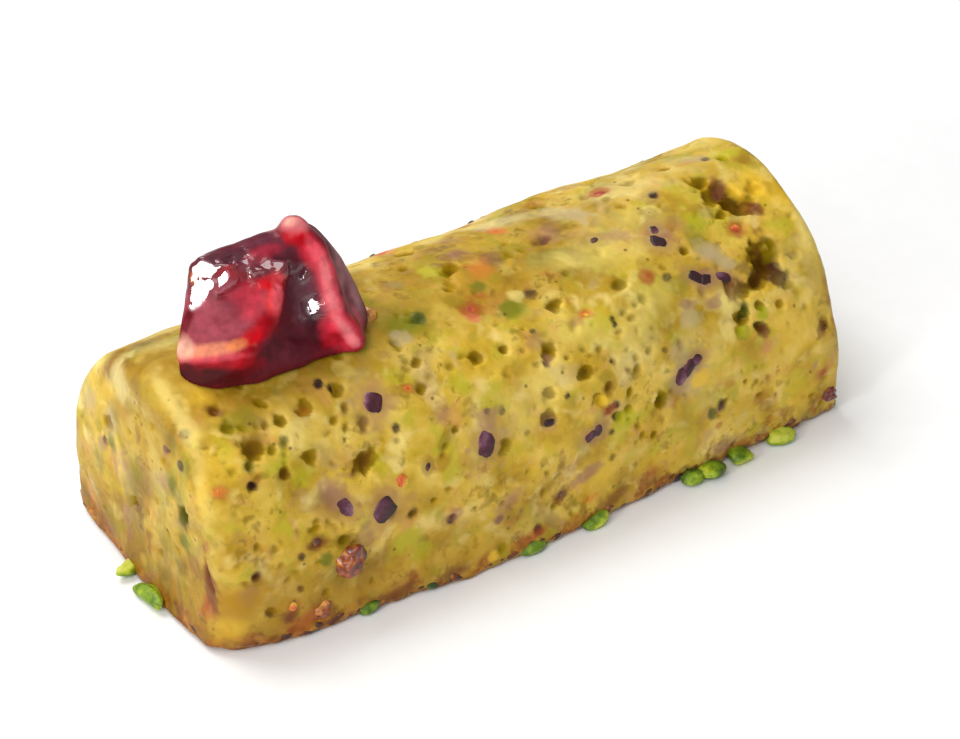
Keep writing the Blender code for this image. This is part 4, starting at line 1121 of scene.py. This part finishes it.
# Orange and red bits: photo pixel, length, breadth, proud, tone
WARM_BITS = (
    (402, 481, 1.9, 1.8, 0.6, 0.75), (407, 388, 1.2, 1, 0.02, 0.6), (218, 492, 1.3, 1.2, 0.05, 0.8),
    (646, 276, 1.8, 1.4, 0, 0.4), (736, 228, 2, 1.5, 0.02, 0.4), (598, 193, 1.9, 1.4, 0.02, 0.15),
    (823, 372, 1.5, 1.3, 0.05, 0.2), (293, 607, 1.3, 1.5, 0.3, 1), (472, 309, 1.8, 1.3, 0, 0.35),
    (495, 231, 1.7, 1, 0, 0.5), (384, 252, 3, 1.6, 0.1, 0.15), (585, 314, 1.5, 0.7, 0, 0.8),
)

# Brown lumps that stand proud: place along the loaf, turn from the front, width, how far out, tone and seed
CANDIED_LUMPS = (
    (-31, 2, 5.2, 0.8, 0.35, 0), (47.4, -14, 2.6, 0.6, 0.5, 2), (-17, 82, 2.8, 0.2, 0.9, 3),
    (-36, -15, 3.6, 0.4, 0.75, 4),
)

# Seeded bits on what the photo does not show: how many, smallest and largest, and how far out
BACK_CHUNKS, BACK_SPECKS, BACK_FLECKS, BACK_WARM_BITS = (
    (22, 1.4, 3.4, 0.1), (150, 0.5, 1.5, 0.09), (50, 0.9, 2.4, 0.12), (26, 0.8, 2.2, 0.14))
FAR_END_SHARE = 0.22

# Shape of a bit: sharpness of its flats, sides of a boxy one, its lightest cut and its lumps
SHARPNESS, BOX_SIDE, LIGHTEST_CUT, BIT_LUMPS = 7, 0.72, 0.95, 0.5

# Seen nuts along the front: place, how far they stand out, length, breadth and tone
FRONT_NUTS = (
    (-29, 1.2, 3.2, 2.4, 0.1), (-20, 1.2, 3, 2.2, 0.15), (-4, 2.1, 5.2, 3.2, 0.15), (6, 2.3, 4.4, 3.2, 0.62),
    (22.5, 2.3, 3.6, 3, 0.3), (25.5, 3.2, 5, 3.9, 0.5), (31, 2.8, 4.4, 3.6, 0.72), (38.5, 2.4, 5.2, 3.6, 0.7),
)

# Seen bent nuts at the near end: place across, how far they stand out, length, breadth, heading and tone
NEAR_NUTS = ((2.5, 2.2, 4.4, 2.1, 27, 0.85), (-3.8, 2.8, 6.6, 2.4, 97, 0.8))
NUT_CUTS, NEAR_NUT_CUTS, NEAR_NUT_TILT, NEAR_NUT_BEND = 8, 2, 0.1, 0.25


def scatter_all(bits, seed, kind, **looks):
    count, smallest, largest, proud = kind
    draw = random.Random(seed)
    for _ in range(count):
        scatter(bits, draw, draw.uniform(smallest, largest), proud, **looks)


def add_purple(loaf):
    bits = Bits()
    for i, (px, py, length, breadth, slant, proud, tone) in enumerate(PURPLE_CHUNKS):
        draw = random.Random(SEED * 20 + i)
        length, breadth, proud = length * CHUNK_GROWTH, breadth * CHUNK_GROWTH, proud * CHUNK_SINKING
        stick(bits, loaf, px, py, length, breadth, slant, proud, draw, tone=tone, **CHUNK_SHAPE)
    scatter_all(bits, SEED + 10, BACK_CHUNKS, **CHUNK_SHAPE)
    bits.finish("purple_fruit_bits")


def add_specks(loaf):
    """Dark specks seen in the photo, and seeded ones over what it does not show."""
    bits = Bits()
    for i, (px, py, size) in enumerate(DARK_SPECKS):
        draw = random.Random(SEED * 30 + i)
        if size < PAINTED_SPECK:
            loaf.dye_seen(loaf.stain, px, py, size * 1.5 + 0.2, size * 1.2 + 0.2, draw.uniform(*ANY_SLANT),
                          COLOURS["dark"], 0.9, ragged=0.25)
            continue
        length, slant = size * draw.uniform(1.0, 1.4), draw.uniform(*ANY_SLANT)
        stick(bits, loaf, px, py, length, size, slant, 0.05, draw, halo="brown", rough=0.2)
    scatter_all(bits, SEED + 5, BACK_SPECKS)
    bits.finish("dark_specks")


def add_greens(loaf):
    bits = Bits()
    for i, (px, py, size) in enumerate(GREEN_FLECKS):
        draw = random.Random(SEED * 40 + i)
        if size < PAINTED_FLECK:
            slant = draw.uniform(40, 120)
            loaf.dye_seen(loaf.stain, px, py, size * 1.7, size * 1.4, slant, COLOURS["dark green"], 0.6)
            continue
        length, slant = size * draw.uniform(1.1, 1.6), draw.uniform(40, 120)
        stick(bits, loaf, px, py, length, size, slant, 0.0, draw, halo="green", rough=0.25)
    scatter_all(bits, SEED + 6, BACK_FLECKS)
    bits.finish("green_flecks")


def add_warm_bits(loaf):
    bits = Bits()
    for i, (px, py, length, breadth, proud, tone) in enumerate(WARM_BITS):
        draw = random.Random(SEED * 50 + i)
        slant = draw.uniform(0, 40)
        stick(bits, loaf, px, py, length, breadth, slant, proud, draw, tone=tone, side=0.25, cuts=4, cut=0.7,
              halo="rust", rough=0.25)
    scatter_all(bits, SEED + 7, BACK_WARM_BITS)
    bits.finish("orange_fruit_bits")


def add_lumps():
    """Brown candied lumps that stand proud of the skin."""
    bits = Bits()
    for x, turn, width, out, tone, seed in CANDIED_LUMPS:
        draw = random.Random(SEED * 60 + seed)
        place, outward = skin(x, turn)
        size = (width, width * 0.85, width * 0.8)
        centre, turn = place + outward * (out - width * 0.25), lying(outward, draw.uniform(0, 60))
        bits.add(centre, turn, size, draw, level=4, cuts=6, cut=0.75, rough=0.38, tone=tone, side=0.25)
    bits.finish("candied_lumps")


def seeded_nut_places(draw):
    """Centre, heading, length and breadth of each seeded nut, all round the foot but for the front."""
    for i in range(NUTS_SCATTERED):
        length = draw.uniform(*NUT_LENGTHS)
        breadth = length * draw.uniform(0.6, 0.8)
        out = draw.uniform(0.1, 0.55) * breadth - breadth / 2
        height = draw.uniform(0.8, 1.5)
        along = (i + draw.uniform(0.2, 0.8)) / NUTS_SCATTERED * (LENGTH + 1.4 * WIDTH)
        if along < WIDTH * 0.9:
            yield Vector((LENGTH / 2 + out, along - WIDTH * 0.45, height)), math.pi / 2, length, breadth
        elif along < WIDTH + LENGTH:
            x = 0.95 * (LENGTH / 2 - along + WIDTH)
            yield Vector((x, half_width(x) + out, height)), 0.0, length, breadth
        else:
            y = WIDTH * 1.4 + LENGTH - along
            yield Vector((-LENGTH / 2 - out, y, height)), math.pi / 2, length, breadth


def nut_places(draw):
    """Centre, heading, length, breadth and tone of each nut at the foot: the seen ones, then the seeded."""
    for x, proud, length, breadth, tone in FRONT_NUTS:
        yield Vector((x, -half_width(x) - proud + breadth / 2, 1.0)), 0.0, length, breadth, tone
    for y, proud, length, breadth, heading, tone in NEAR_NUTS:
        place = Vector((-LENGTH / 2 - proud + breadth / 2, y, 1.1))
        yield place, math.radians(heading), length, breadth, tone
    for nut in seeded_nut_places(draw):
        yield *nut, None


def add_nuts(crust):
    """Chopped nuts round the foot; the seeded bits of the near end are toasted crust."""
    draw = random.Random(SEED + 1)
    nuts = Bits()
    near_nuts = range(len(FRONT_NUTS), len(FRONT_NUTS) + len(NEAR_NUTS))
    for i, (place, heading, length, breadth, tone) in enumerate(list(nut_places(draw))):
        size = (length, breadth, min(NUT_THICKEST, length * draw.uniform(0.45, 0.65)))
        tilt = Euler((draw.uniform(-0.2, 0.2), draw.uniform(-0.2, 0.2), heading + draw.uniform(-0.4, 0.4)))
        bits, cuts, bend = nuts, NUT_CUTS, 0.0
        if i in near_nuts:
            cuts, bend = NEAR_NUT_CUTS, NEAR_NUT_BEND * breadth
            tilt = Euler((0.0, NEAR_NUT_TILT, heading))
        elif place.x < 2 - LENGTH / 2:
            bits, tone, size = crust, 0.4, (length * 0.8, breadth * 0.7, size[2] * 0.8)
        shaping = random.Random(SEED * 10 + i)
        bits.add(place, tilt.to_matrix(), size, shaping, level=4, cuts=cuts, cut=0.66, rough=0.14, tone=tone,
                 side=0.3, bend=bend)
    nuts.finish("pistachio_bits")


def add_crust(loaf, bits):
    """Toasted crumbs in patches round the foot, seated on the finished skin."""
    draw = random.Random(SEED + 8)
    height = loaf.points[:, 2]
    upright = np.abs(loaf.normals[:, 2]) < 0.5
    low = np.nonzero((height > CRUST_LOWEST) & (height < CRUST_TOP) & upright)[0]
    for _ in range(CRUST_BITS):
        i = low[draw.randrange(len(low))]
        size = CRUST_SMALLEST + (CRUST_LARGEST - CRUST_SMALLEST) * draw.random() ** 1.6
        if height[i] > CRUST_TOP * (0.55 + 0.6 * loaf.coarse[i]):
            continue
        turn = lying(loaf.normals[i], draw.uniform(-25, 25))
        place = loaf.points[i] - loaf.normals[i] * size * draw.uniform(0.12, 0.32)
        shape = (size * draw.uniform(1.1, 1.9), size, size * 0.7)
        tone = draw.uniform(0.0, 0.65)
        bits.add(place, turn, shape, draw, level=2, cut=0.6, rough=0.3, tone=tone, side=0.2)
    bits.finish("toasted_crust_bits")


# The folded fruit piece, by the places that the edges of its folds pass through
CREST = ((-38.4, 0.8, 43.9), (-35.0, 1.2, 43.9), (-30.4, 1.0, 44.0), (-27.6, 0.6, 44.4))
KNOB = (-25.8, 0.2, 46.2)
FIN = (
    KNOB, (-24.2, -1.4, 44.0), (-23.7, -3.0, 41.0), (-23.6, -5.0, 37.6), (-23.0, -6.6, 34.4),
    (-21.9, -7.6, 32.4),
)
SHOULDER = ((-24.0, 1.6, 43.6), (-21.6, 0.4, 39.4), (-20.6, -1.4, 35.8), (-20.6, -4.4, 33.0))
LEFT_EDGE = (CREST[0], (-39.5, 0.2, 41.0), (-41.2, -1.4, 38.4), (-43.3, -3.4, 36.0))
LIP = (LEFT_EDGE[-1], (-42.2, -5.0, 35.6), (-39.8, -6.2, 35.8), (-37.4, -6.4, 36.4), (-35.2, -6.0, 37.6))
MIDDLE_FOLD = (LIP[-1], (-33.4, -5.0, 39.2), (-32.0, -3.8, 41.2), (-31.6, -1.6, 43.4))
FOOT = (
    (-43.2, -3.6, 33.4), (-40.8, -5.4, 33.0), (-36.0, -6.4, 32.6), (-29.6, -6.6, 32.6), (-24.0, -6.8, 32.0),
)
VALLEY = ((-29.2, 0.2, 43.2), (-28.2, -1.0, 40.4), (-27.6, -2.3, 37.0), (-27.2, -4.4, 34.0))
POCKET = ((-40.2, -1.0, 38.4), (-37.4, -1.5, 39.0), (-34.4, -1.8, 40.2))
BACK = ((-36.6, 3.4, 38.0), (-34.0, 4.8, 39.4), (-29.0, 4.4, 38.8), (-24.6, 3.8, 37.6))
BACK_FOOT = (
    (-41.2, -0.6, 33.2), (-36.0, 4.4, 32.8), (-30.6, 6.2, 32.4), (-24.0, 5.6, 32.4), (-20.6, 0.6, 33.2),
)
BROW = (
    (-38.6, -0.6, 44.2), (-36.7, -1.2, 43.9), (-34.6, -1.6, 43.7), (-32.2, -2.8, 43.5), (-29.6, -3.0, 42.7),
)
BODY = ((-37.2, 0.2, 36.4), (-32.0, 0.6, 36.8), (-25.8, 0.6, 36.6))

# Rods along the folds, with first and last radius, and skins that span two of them, with their radius
RODS = (
    (BODY, 3.2, 3.4), (CREST, 1.0, 1.0), ((CREST[-1], KNOB), 1.0, 1.9), (FIN, 1.6, 1.2), (SHOULDER, 1.2, 1.5),
    (LEFT_EDGE, 1.0, 1.0), (LIP, 1.1, 1.0), (MIDDLE_FOLD, 1.2, 1.4), (VALLEY, 1.2, 1.2), (BACK, 1.6, 1.6),
    (FOOT, 1.3, 1.2), (BACK_FOOT, 1.4, 1.4), (POCKET, 1.5, 1.5), (BROW, 0.9, 0.7),
)
SKINS = (
    (CREST, BODY, 1.6), (FIN, VALLEY, 0.8), (VALLEY, MIDDLE_FOLD[::-1], 0.9), (POCKET, CREST[:3], 1.1),
    (POCKET, LIP, 1.0), (FIN, SHOULDER, 1.0), (LIP, FOOT[:4], 1.2), (MIDDLE_FOLD, (FOOT[2], BODY[1]), 1.2),
    (BACK, BODY, 2.0), (BACK, CREST, 1.3), (BACK, BACK_FOOT[1:4], 1.4), (SHOULDER, BODY[1:], 2.0),
    (LEFT_EDGE, (BODY[0], BACK_FOOT[0]), 1.2),
)


def along_places(places, share):
    """The place a share of the way along a bent edge."""
    step = share * (len(places) - 1)
    i = min(int(step), len(places) - 2)
    return np.array(places[i]) * (1 - step + i) + np.array(places[i + 1]) * (step - i)


def fruit_bars():
    """Every straight bar of the fruit: its two ends and the radius at each."""
    bars = []
    for places, first, last in RODS:
        pieces = len(places) - 1
        for i in range(pieces):
            radii = [first + (last - first) * j / pieces for j in (i, i + 1)]
            bars.append((np.array(places[i]), np.array(places[i + 1]), *radii))
    for upper, lower, radius in SKINS:
        for i in range(FRUIT_RIBS + 1):
            share = i / FRUIT_RIBS
            bars.append((along_places(upper, share), along_places(lower, share), radius, radius))
    return bars


def to_bar(points, start, end):
    """Distance from points to a straight bar, and how far along it the nearest place lies."""
    along = end - start
    share = np.clip((points - start) @ along / max(along @ along, 1e-9), 0, 1)
    return np.linalg.norm(points - start - share[:, None] * along, axis=1), share


def fruit_distance(points, bars):
    """Smooth union of the fruit's bars."""
    rows = np.empty((len(bars), len(points)))
    for row, (start, end, first, last) in zip(rows, bars):
        away, share = to_bar(points, start, end)
        row[:] = away - first - (last - first) * share
    nearest = rows.min(axis=0)
    return nearest - FRUIT_BLEND * np.log(np.exp((nearest - rows) / FRUIT_BLEND).sum(axis=0))


def fruit_points(directions):
    """Each direction from the middle, drawn in until it meets the folds or the gap over the loaf."""
    bars = fruit_bars()
    reach = np.full(len(directions), FRUIT_REACH)
    moving = np.arange(len(directions))
    for _ in range(MEET_TRIES):
        points = FRUIT_MIDDLE + directions[moving] * reach[moving, None]
        outside = np.maximum(fruit_distance(points, bars), FRUIT_GAP - height_above_loaf(points))
        reach[moving] -= np.clip(outside * MEET_SHARE, -MEET_BACK, MEET_FORWARD)
        moving = moving[np.abs(outside) > MEET_NEAR]
        if len(moving) == 0:
            break
    return FRUIT_MIDDLE + directions * reach[:, None]


def near_edge(points, places, width):
    """One on a bent edge, falling to nothing about width away."""
    stretches = zip(places, places[1:])
    nearest = np.min([to_bar(points, np.array(a), np.array(b))[0] for a, b in stretches], axis=0)
    return np.exp(-(nearest / width) ** 2)


# The corner of the fruit that is pressed flat: the way it faces, how far out it lies, and how soft its rim is
CORNER_FACING, CORNER_OUT = np.array(Vector((-0.66, -0.556, 0.503))), 48.25
CORNER_SOFT, CORNER_LEAST = 0.02, 0.03

FRUIT_COLOURS = {
    "plum": rgb(92, 32, 42), "dusk": rgb(104, 46, 60), "slate": rgb(102, 58, 68), "deep": rgb(44, 6, 14),
    "wine": rgb(104, 6, 20), "crimson": rgb(156, 10, 24), "red": rgb(194, 10, 24), "rose": rgb(206, 42, 62),
    "coral": rgb(224, 60, 54), "pink": rgb(222, 86, 98), "blush": rgb(224, 120, 124),
    "cream": rgb(216, 130, 100), "peach": rgb(234, 172, 146), "gold": rgb(218, 122, 60),
    "mauve": rgb(154, 66, 78), "ash": rgb(150, 104, 108), "pale mauve": rgb(178, 88, 98),
    "glaze": rgb(72, 16, 18), "rust": rgb(92, 28, 18),
}

# Colours along the folds, and how far each reaches
FOLD_COLOURS = (
    ("wine", FOOT, 2.0), ("crimson", MIDDLE_FOLD, 1.6), ("crimson", LIP, 2.0), ("rose", FIN, 1.4),
    ("crimson", LEFT_EDGE, 1.2), ("dusk", BACK, 3.0), ("crimson", SHOULDER, 0.9), ("wine", BACK_FOOT, 2.0),
)

# Colour strokes on the fruit by photo pixel, among them painted highlight, painted reflection and painted
# shade: length, breadth, slant, colour and strength
FRUIT_STROKES = (
    (262, 250, 12, 4, 20, "dusk", 0.85), (264, 252, 5, 1.8, 20, "rose", 0.4),
    # The ash on the fin's right face and the slate in the valley are partly the fruit's colour and partly
    # painted reflection of the white studio.
    (346, 285, 13, 5, 105, "ash", 0.95), (340, 256, 5, 2.4, 110, "ash", 0.8),
    (348, 300, 6, 1.4, 105, "dusk", 0.6), (357, 326, 3, 2.2, 100, "rust", 0.85),
    (304, 300, 8, 4.2, 100, "slate", 0.9), (314, 331, 4.6, 2.6, 95, "deep", 0.9),
    (288, 347, 11, 5, 15, "plum", 0.95), (270, 352, 5, 3, 20, "deep", 0.3),
    # pocket: its mauve and pale mauve are partly the fruit's colour and partly painted reflection of the
    # white studio
    (222, 312, 12, 9, 25, "mauve", 1), (205, 326, 6, 4, 65, "mauve", 0.8),
    (214, 307, 3, 2.2, 0, "pale mauve", 0.55), (222, 296, 1.6, 1, 0, "wine", 0.7),
    (240, 290, 5, 2.4, 20, "rose", 0.35), (232, 274, 5, 1.5, 0, "crimson", 0.7),
    (188, 318, 6.5, 1.2, 65, "wine", 0.9), (194, 277, 1.8, 1.2, 80, "gold", 0.7),
    # middle fold
    (252, 302, 5, 3.4, 70, "rose", 0.45), (276, 300, 5.4, 2.4, 82, "coral", 1),
    (272, 283, 4.2, 1.8, 5, "red", 0.95), (278, 299, 4.4, 2.1, 82, "pink", 0.85),
    (266, 324, 3.6, 2.8, 45, "crimson", 0.95), (252, 338, 3.4, 2.2, 40, "red", 0.9),
    # lip and foot
    (214, 365, 10.5, 2, 3, "crimson", 0.95), (248, 358, 3.6, 2.4, 30, "crimson", 0.8),
    # The dark glaze strokes under the lip are partly a glaze pool and partly painted shade.
    (208, 377, 9.6, 2.6, 2, "glaze", 1), (186, 372, 3, 2.6, 100, "glaze", 0.9),
    (246, 372, 4, 1.4, 10, "wine", 0.7), (208, 357, 9.6, 1.4, 4, "pink", 0.7),
    # The peach at the lip's left end, (184, 349), is a painted highlight.
    (209, 350, 9.4, 1.7, 7, "cream", 1), (184, 349, 2.8, 2.6, 60, "peach", 0.95),
    (236, 345, 2.8, 1.3, 16, "gold", 0.7),
    # knob and fin
    (315, 254, 6.4, 3, 125, "rose", 1), (298, 238, 4, 2.4, 165, "red", 0.9),
    (294, 222, 3.8, 2.4, 0, "blush", 0.95), (290, 221, 2, 1.4, 0, "peach", 0.6),
    (318, 254, 5.2, 1.8, 122, "pink", 0.85), (327, 277, 6.6, 2.6, 100, "pink", 0.95),
    # The blush lines along the fin's ridge and at its tip are painted highlight on the pink fin.
    (327, 279, 5.4, 1.3, 100, "blush", 0.85), (334, 304, 5.6, 2.6, 108, "pink", 0.9),
    (333, 303, 5, 1.3, 108, "blush", 0.85), (341, 332, 5.4, 4.4, 130, "rose", 1),
    (336, 338, 3.6, 2, 10, "crimson", 0.8), (345, 327, 5.8, 1.9, 128, "pink", 0.9),
    (346, 329, 5, 1, 128, "blush", 0.9), (352, 340, 2.4, 1.4, 128, "blush", 0.8),
)

# Where the glaze on the fruit is wet and wrinkled
WET_SPOTS = (
    (213, 276, 7.5, 5, 20), (197, 292, 4.4, 2, 65), (245, 265, 12.5, 2.8, 2), (250, 274, 2, 1.4, 90),
    (289, 267, 2, 1.4, 120), (302, 276, 2.6, 2, 90), (314, 306, 3.4, 3.4, 0), (254, 286, 1.4, 1, 0),
    (278, 288, 1.4, 1, 0), (300, 318, 2.4, 1, 20),
)

# Small flats of glaze that mirror the window, by photo pixel: length, breadth and slant
GLINTS = (
    (314, 306, 1.9, 1.8, 30), (302, 276, 1.3, 0.9, 80), (289, 267, 0.9, 0.6, 120), (250, 274, 1.3, 0.8, 90),
    (223, 280, 2.6, 2.4, 20), (207, 268, 3, 2, 20), (198, 291, 2.6, 1.2, 70), (208, 285, 1.6, 1.2, 45),
    (254, 286, 0.6, 0.4, 0), (278, 288, 0.6, 0.5, 0), (302, 318, 0.9, 0.3, 20),
)

# Longer flats of glaze along the upper edge that mirror the wide light
SHEENS = (
    (218, 262, 3.4, 1.7, 16), (232, 260, 3.6, 1.6, 6), (246, 260, 3.6, 1.6, 0), (260, 262, 3.4, 1.6, -8),
    (273, 266, 3, 1.5, -16),
)

# The most that a flat moves the glaze, and the softness and ragged edge of strokes and wet patches
GLINT_MOST, SHEEN_MOST = 0.5, 0.9
STROKE_EDGE, WET_EDGE = {"soft": 0.6, "ragged": 0.35}, {"soft": 0.4, "ragged": 0.5}
BACK_STROKE_EDGE = {"soft": 0.6, "ragged": 0.5}

# Seeded strokes on the fruit's back, each with a wet patch: sizes, and least height above the loaf
BACK_STROKES = (("ash", 0.5), ("rose", 0.8), ("crimson", 0.9), ("blush", 0.6), ("coral", 0.7)) * 2
BACK_STROKE_SIZES, BACK_STROKE_LOWEST, FACING_AWAY = (2.5, 5.0), 2.5, -0.1

# Unevenness of the fruit: height and length of its creases, its grain and the wrinkles of its wet glaze
CREASE, CREASE_WAVE, FRUIT_GRAIN, FRUIT_GRAIN_WAVE, WRINKLE, WRINKLE_WAVE = 0.05, 2.2, 0.03, 0.8, 0.026, 0.7


def fruit_tones(points):
    """Colour of the fruit by its folds: dark plum skins with red and pink edges."""
    colour = np.tile(FRUIT_COLOURS["plum"], (len(points), 1))
    ragged = 1 + 0.35 * lumps(points, 1.6, 4.2)
    for name, places, width in FOLD_COLOURS:
        share = np.clip(near_edge(points, places, width) * ragged, 0, 1)[:, None]
        colour = colour * (1 - share) + np.array(FRUIT_COLOURS[name]) * share
    return np.concatenate([colour, np.ones((len(points), 1))], axis=1)


def flatten(shell, points, light, most, px, py, length, breadth, slant):
    """Turns a small patch of glaze to mirror a light to the camera."""
    place, outward = shell.seen_at(px, py)
    if place is None:
        return
    facing = ((CAMERA_PLACE - place).normalized() + (light - place).normalized()).normalized()
    facing = np.array(facing)
    index, out = shell.around(place, outward, length * 1.5, breadth * 1.5, slant, 0.3)
    lift = (np.array(place) - points[index]) @ facing / np.maximum(shell.normals[index] @ facing, 0.4)
    share = np.clip((1.15 - out) / 0.35, 0, 1)
    points[index] += shell.normals[index] * (np.clip(lift, -most, most) * share)[:, None]


def press_corner(points):
    """Presses the upper near corner of the fruit to a slightly wrinkled flat."""
    over = points @ CORNER_FACING - CORNER_OUT
    press = 0.5 * (over + np.sqrt(over ** 2 + CORNER_SOFT))
    return points - np.where(press > CORNER_LEAST, press, 0)[:, None] * CORNER_FACING


def finer(directions, faces, points):
    """The ball with every edge split that has come out long on the fruit."""
    bm = bmesh.new()
    verts = [bm.verts.new(tuple(direction)) for direction in directions]
    for face in faces:
        bm.faces.new([verts[v] for v in face])
    bm.verts.index_update()
    ends = np.array([[vert.index for vert in edge.verts] for edge in bm.edges])
    lengths = np.linalg.norm(points[ends[:, 0]] - points[ends[:, 1]], axis=1)
    long_edges = [edge for edge, length in zip(bm.edges, lengths) if length > FRUIT_EDGE]
    bmesh.ops.subdivide_edges(bm, edges=long_edges, cuts=1)
    bmesh.ops.triangulate(bm, faces=[face for face in bm.faces if len(face.verts) > 3])
    bm.verts.index_update()
    split = np.array([vert.co for vert in bm.verts])
    faces = [tuple(vert.index for vert in face.verts) for face in bm.faces]
    bm.free()
    return split / np.linalg.norm(split, axis=1)[:, None], faces


def fruit_skin():
    """Points and faces of the fruit, with a finer mesh where it is drawn out long."""
    directions, faces = ball(6)
    for _ in range(2):
        directions, faces = finer(directions, faces, fruit_points(directions))
    return press_corner(fruit_points(directions)), faces


def paint_fruit(shell, points):
    """Colours of the fruit, and how wet its glaze is: the strokes seen, then seeded ones behind."""
    white = (1.0, 1.0, 1.0)
    tones, wet = fruit_tones(points), shell.layer(white)
    for px, py, length, breadth, slant, colour, strength in FRUIT_STROKES:
        shell.dye_seen(tones, px, py, length, breadth, slant, FRUIT_COLOURS[colour], strength, **STROKE_EDGE)
    for px, py, length, breadth, slant in WET_SPOTS:
        shell.dye_seen(wet, px, py, length, breadth, slant, white, 1.0, **WET_EDGE)
    draw = random.Random(SEED + 9)
    away = shell.normals @ np.array(camera_axes()[2]) < FACING_AWAY
    unseen = np.nonzero(away & (height_above_loaf(points) > BACK_STROKE_LOWEST))[0]
    for name, strength in BACK_STROKES:
        i = unseen[draw.randrange(len(unseen))]
        size, slant = draw.uniform(*BACK_STROKE_SIZES), draw.uniform(*ANY_SLANT)
        place, outward, colour = points[i], shell.normals[i], FRUIT_COLOURS[name]
        shell.dye(tones, place, outward, size, size * 0.5, slant, colour, strength, **BACK_STROKE_EDGE)
        shell.dye(wet, place, outward, size, size * 0.7, slant, white, 1.0, **WET_EDGE)
    return tones, wet[:, 3]


def glaze_fruit(shell, points, wet):
    """The skin with fine creases, flats that mirror the lights, and wrinkles in the wet glaze."""
    crease = CREASE * lumps(points, CREASE_WAVE, 6.4) + FRUIT_GRAIN * lumps(points, FRUIT_GRAIN_WAVE, 2.3)
    clear = np.clip(height_above_loaf(points) - FRUIT_GAP, 0, 1)
    points = points + shell.normals * (crease * clear)[:, None]
    for sheen in SHEENS:
        flatten(shell, points, OVERHEAD_PLACE, SHEEN_MOST, *sheen)
    for glint in GLINTS:
        flatten(shell, points, WINDOW_PLACE, GLINT_MOST, *glint)
    return points + shell.normals * (WRINKLE * wet * lumps(points, WRINKLE_WAVE, 7.9))[:, None]


def add_fruit():
    points, faces = fruit_skin()
    shell = Shell(points, faces)
    tones, wet = paint_fruit(shell, points)
    points = glaze_fruit(shell, points, wet)
    fruit = make_piece("raspberry_fruit", points, faces, fruit_looks(), "raspberry_topping")
    add_layer(fruit.data, "tone", tones)
    add_values(fruit.data, "wet", wet)


def add_loaf(loaf):
    open_pores(loaf)
    colour_loaf(loaf)
    shape_loaf(loaf)
    piece = make_piece("pistachio_loaf", loaf.points, loaf.faces, crumb_looks(), "cake_body")
    add_values(piece.data, "pit", loaf.sink)
    add_values(piece.data, "crest", loaf.crest)
    add_values(piece.data, "end", loaf.end)
    add_layer(piece.data, "tone", loaf.tone)
    add_layer(piece.data, "stain", loaf.stain)


def main():
    add_camera()
    light_the_studio()
    loaf = Loaf()
    add_purple(loaf)
    add_specks(loaf)
    add_greens(loaf)
    add_warm_bits(loaf)
    add_lumps()
    crust = Bits()
    add_nuts(crust)
    add_loaf(loaf)
    add_crust(loaf, crust)
    add_fruit()


main()
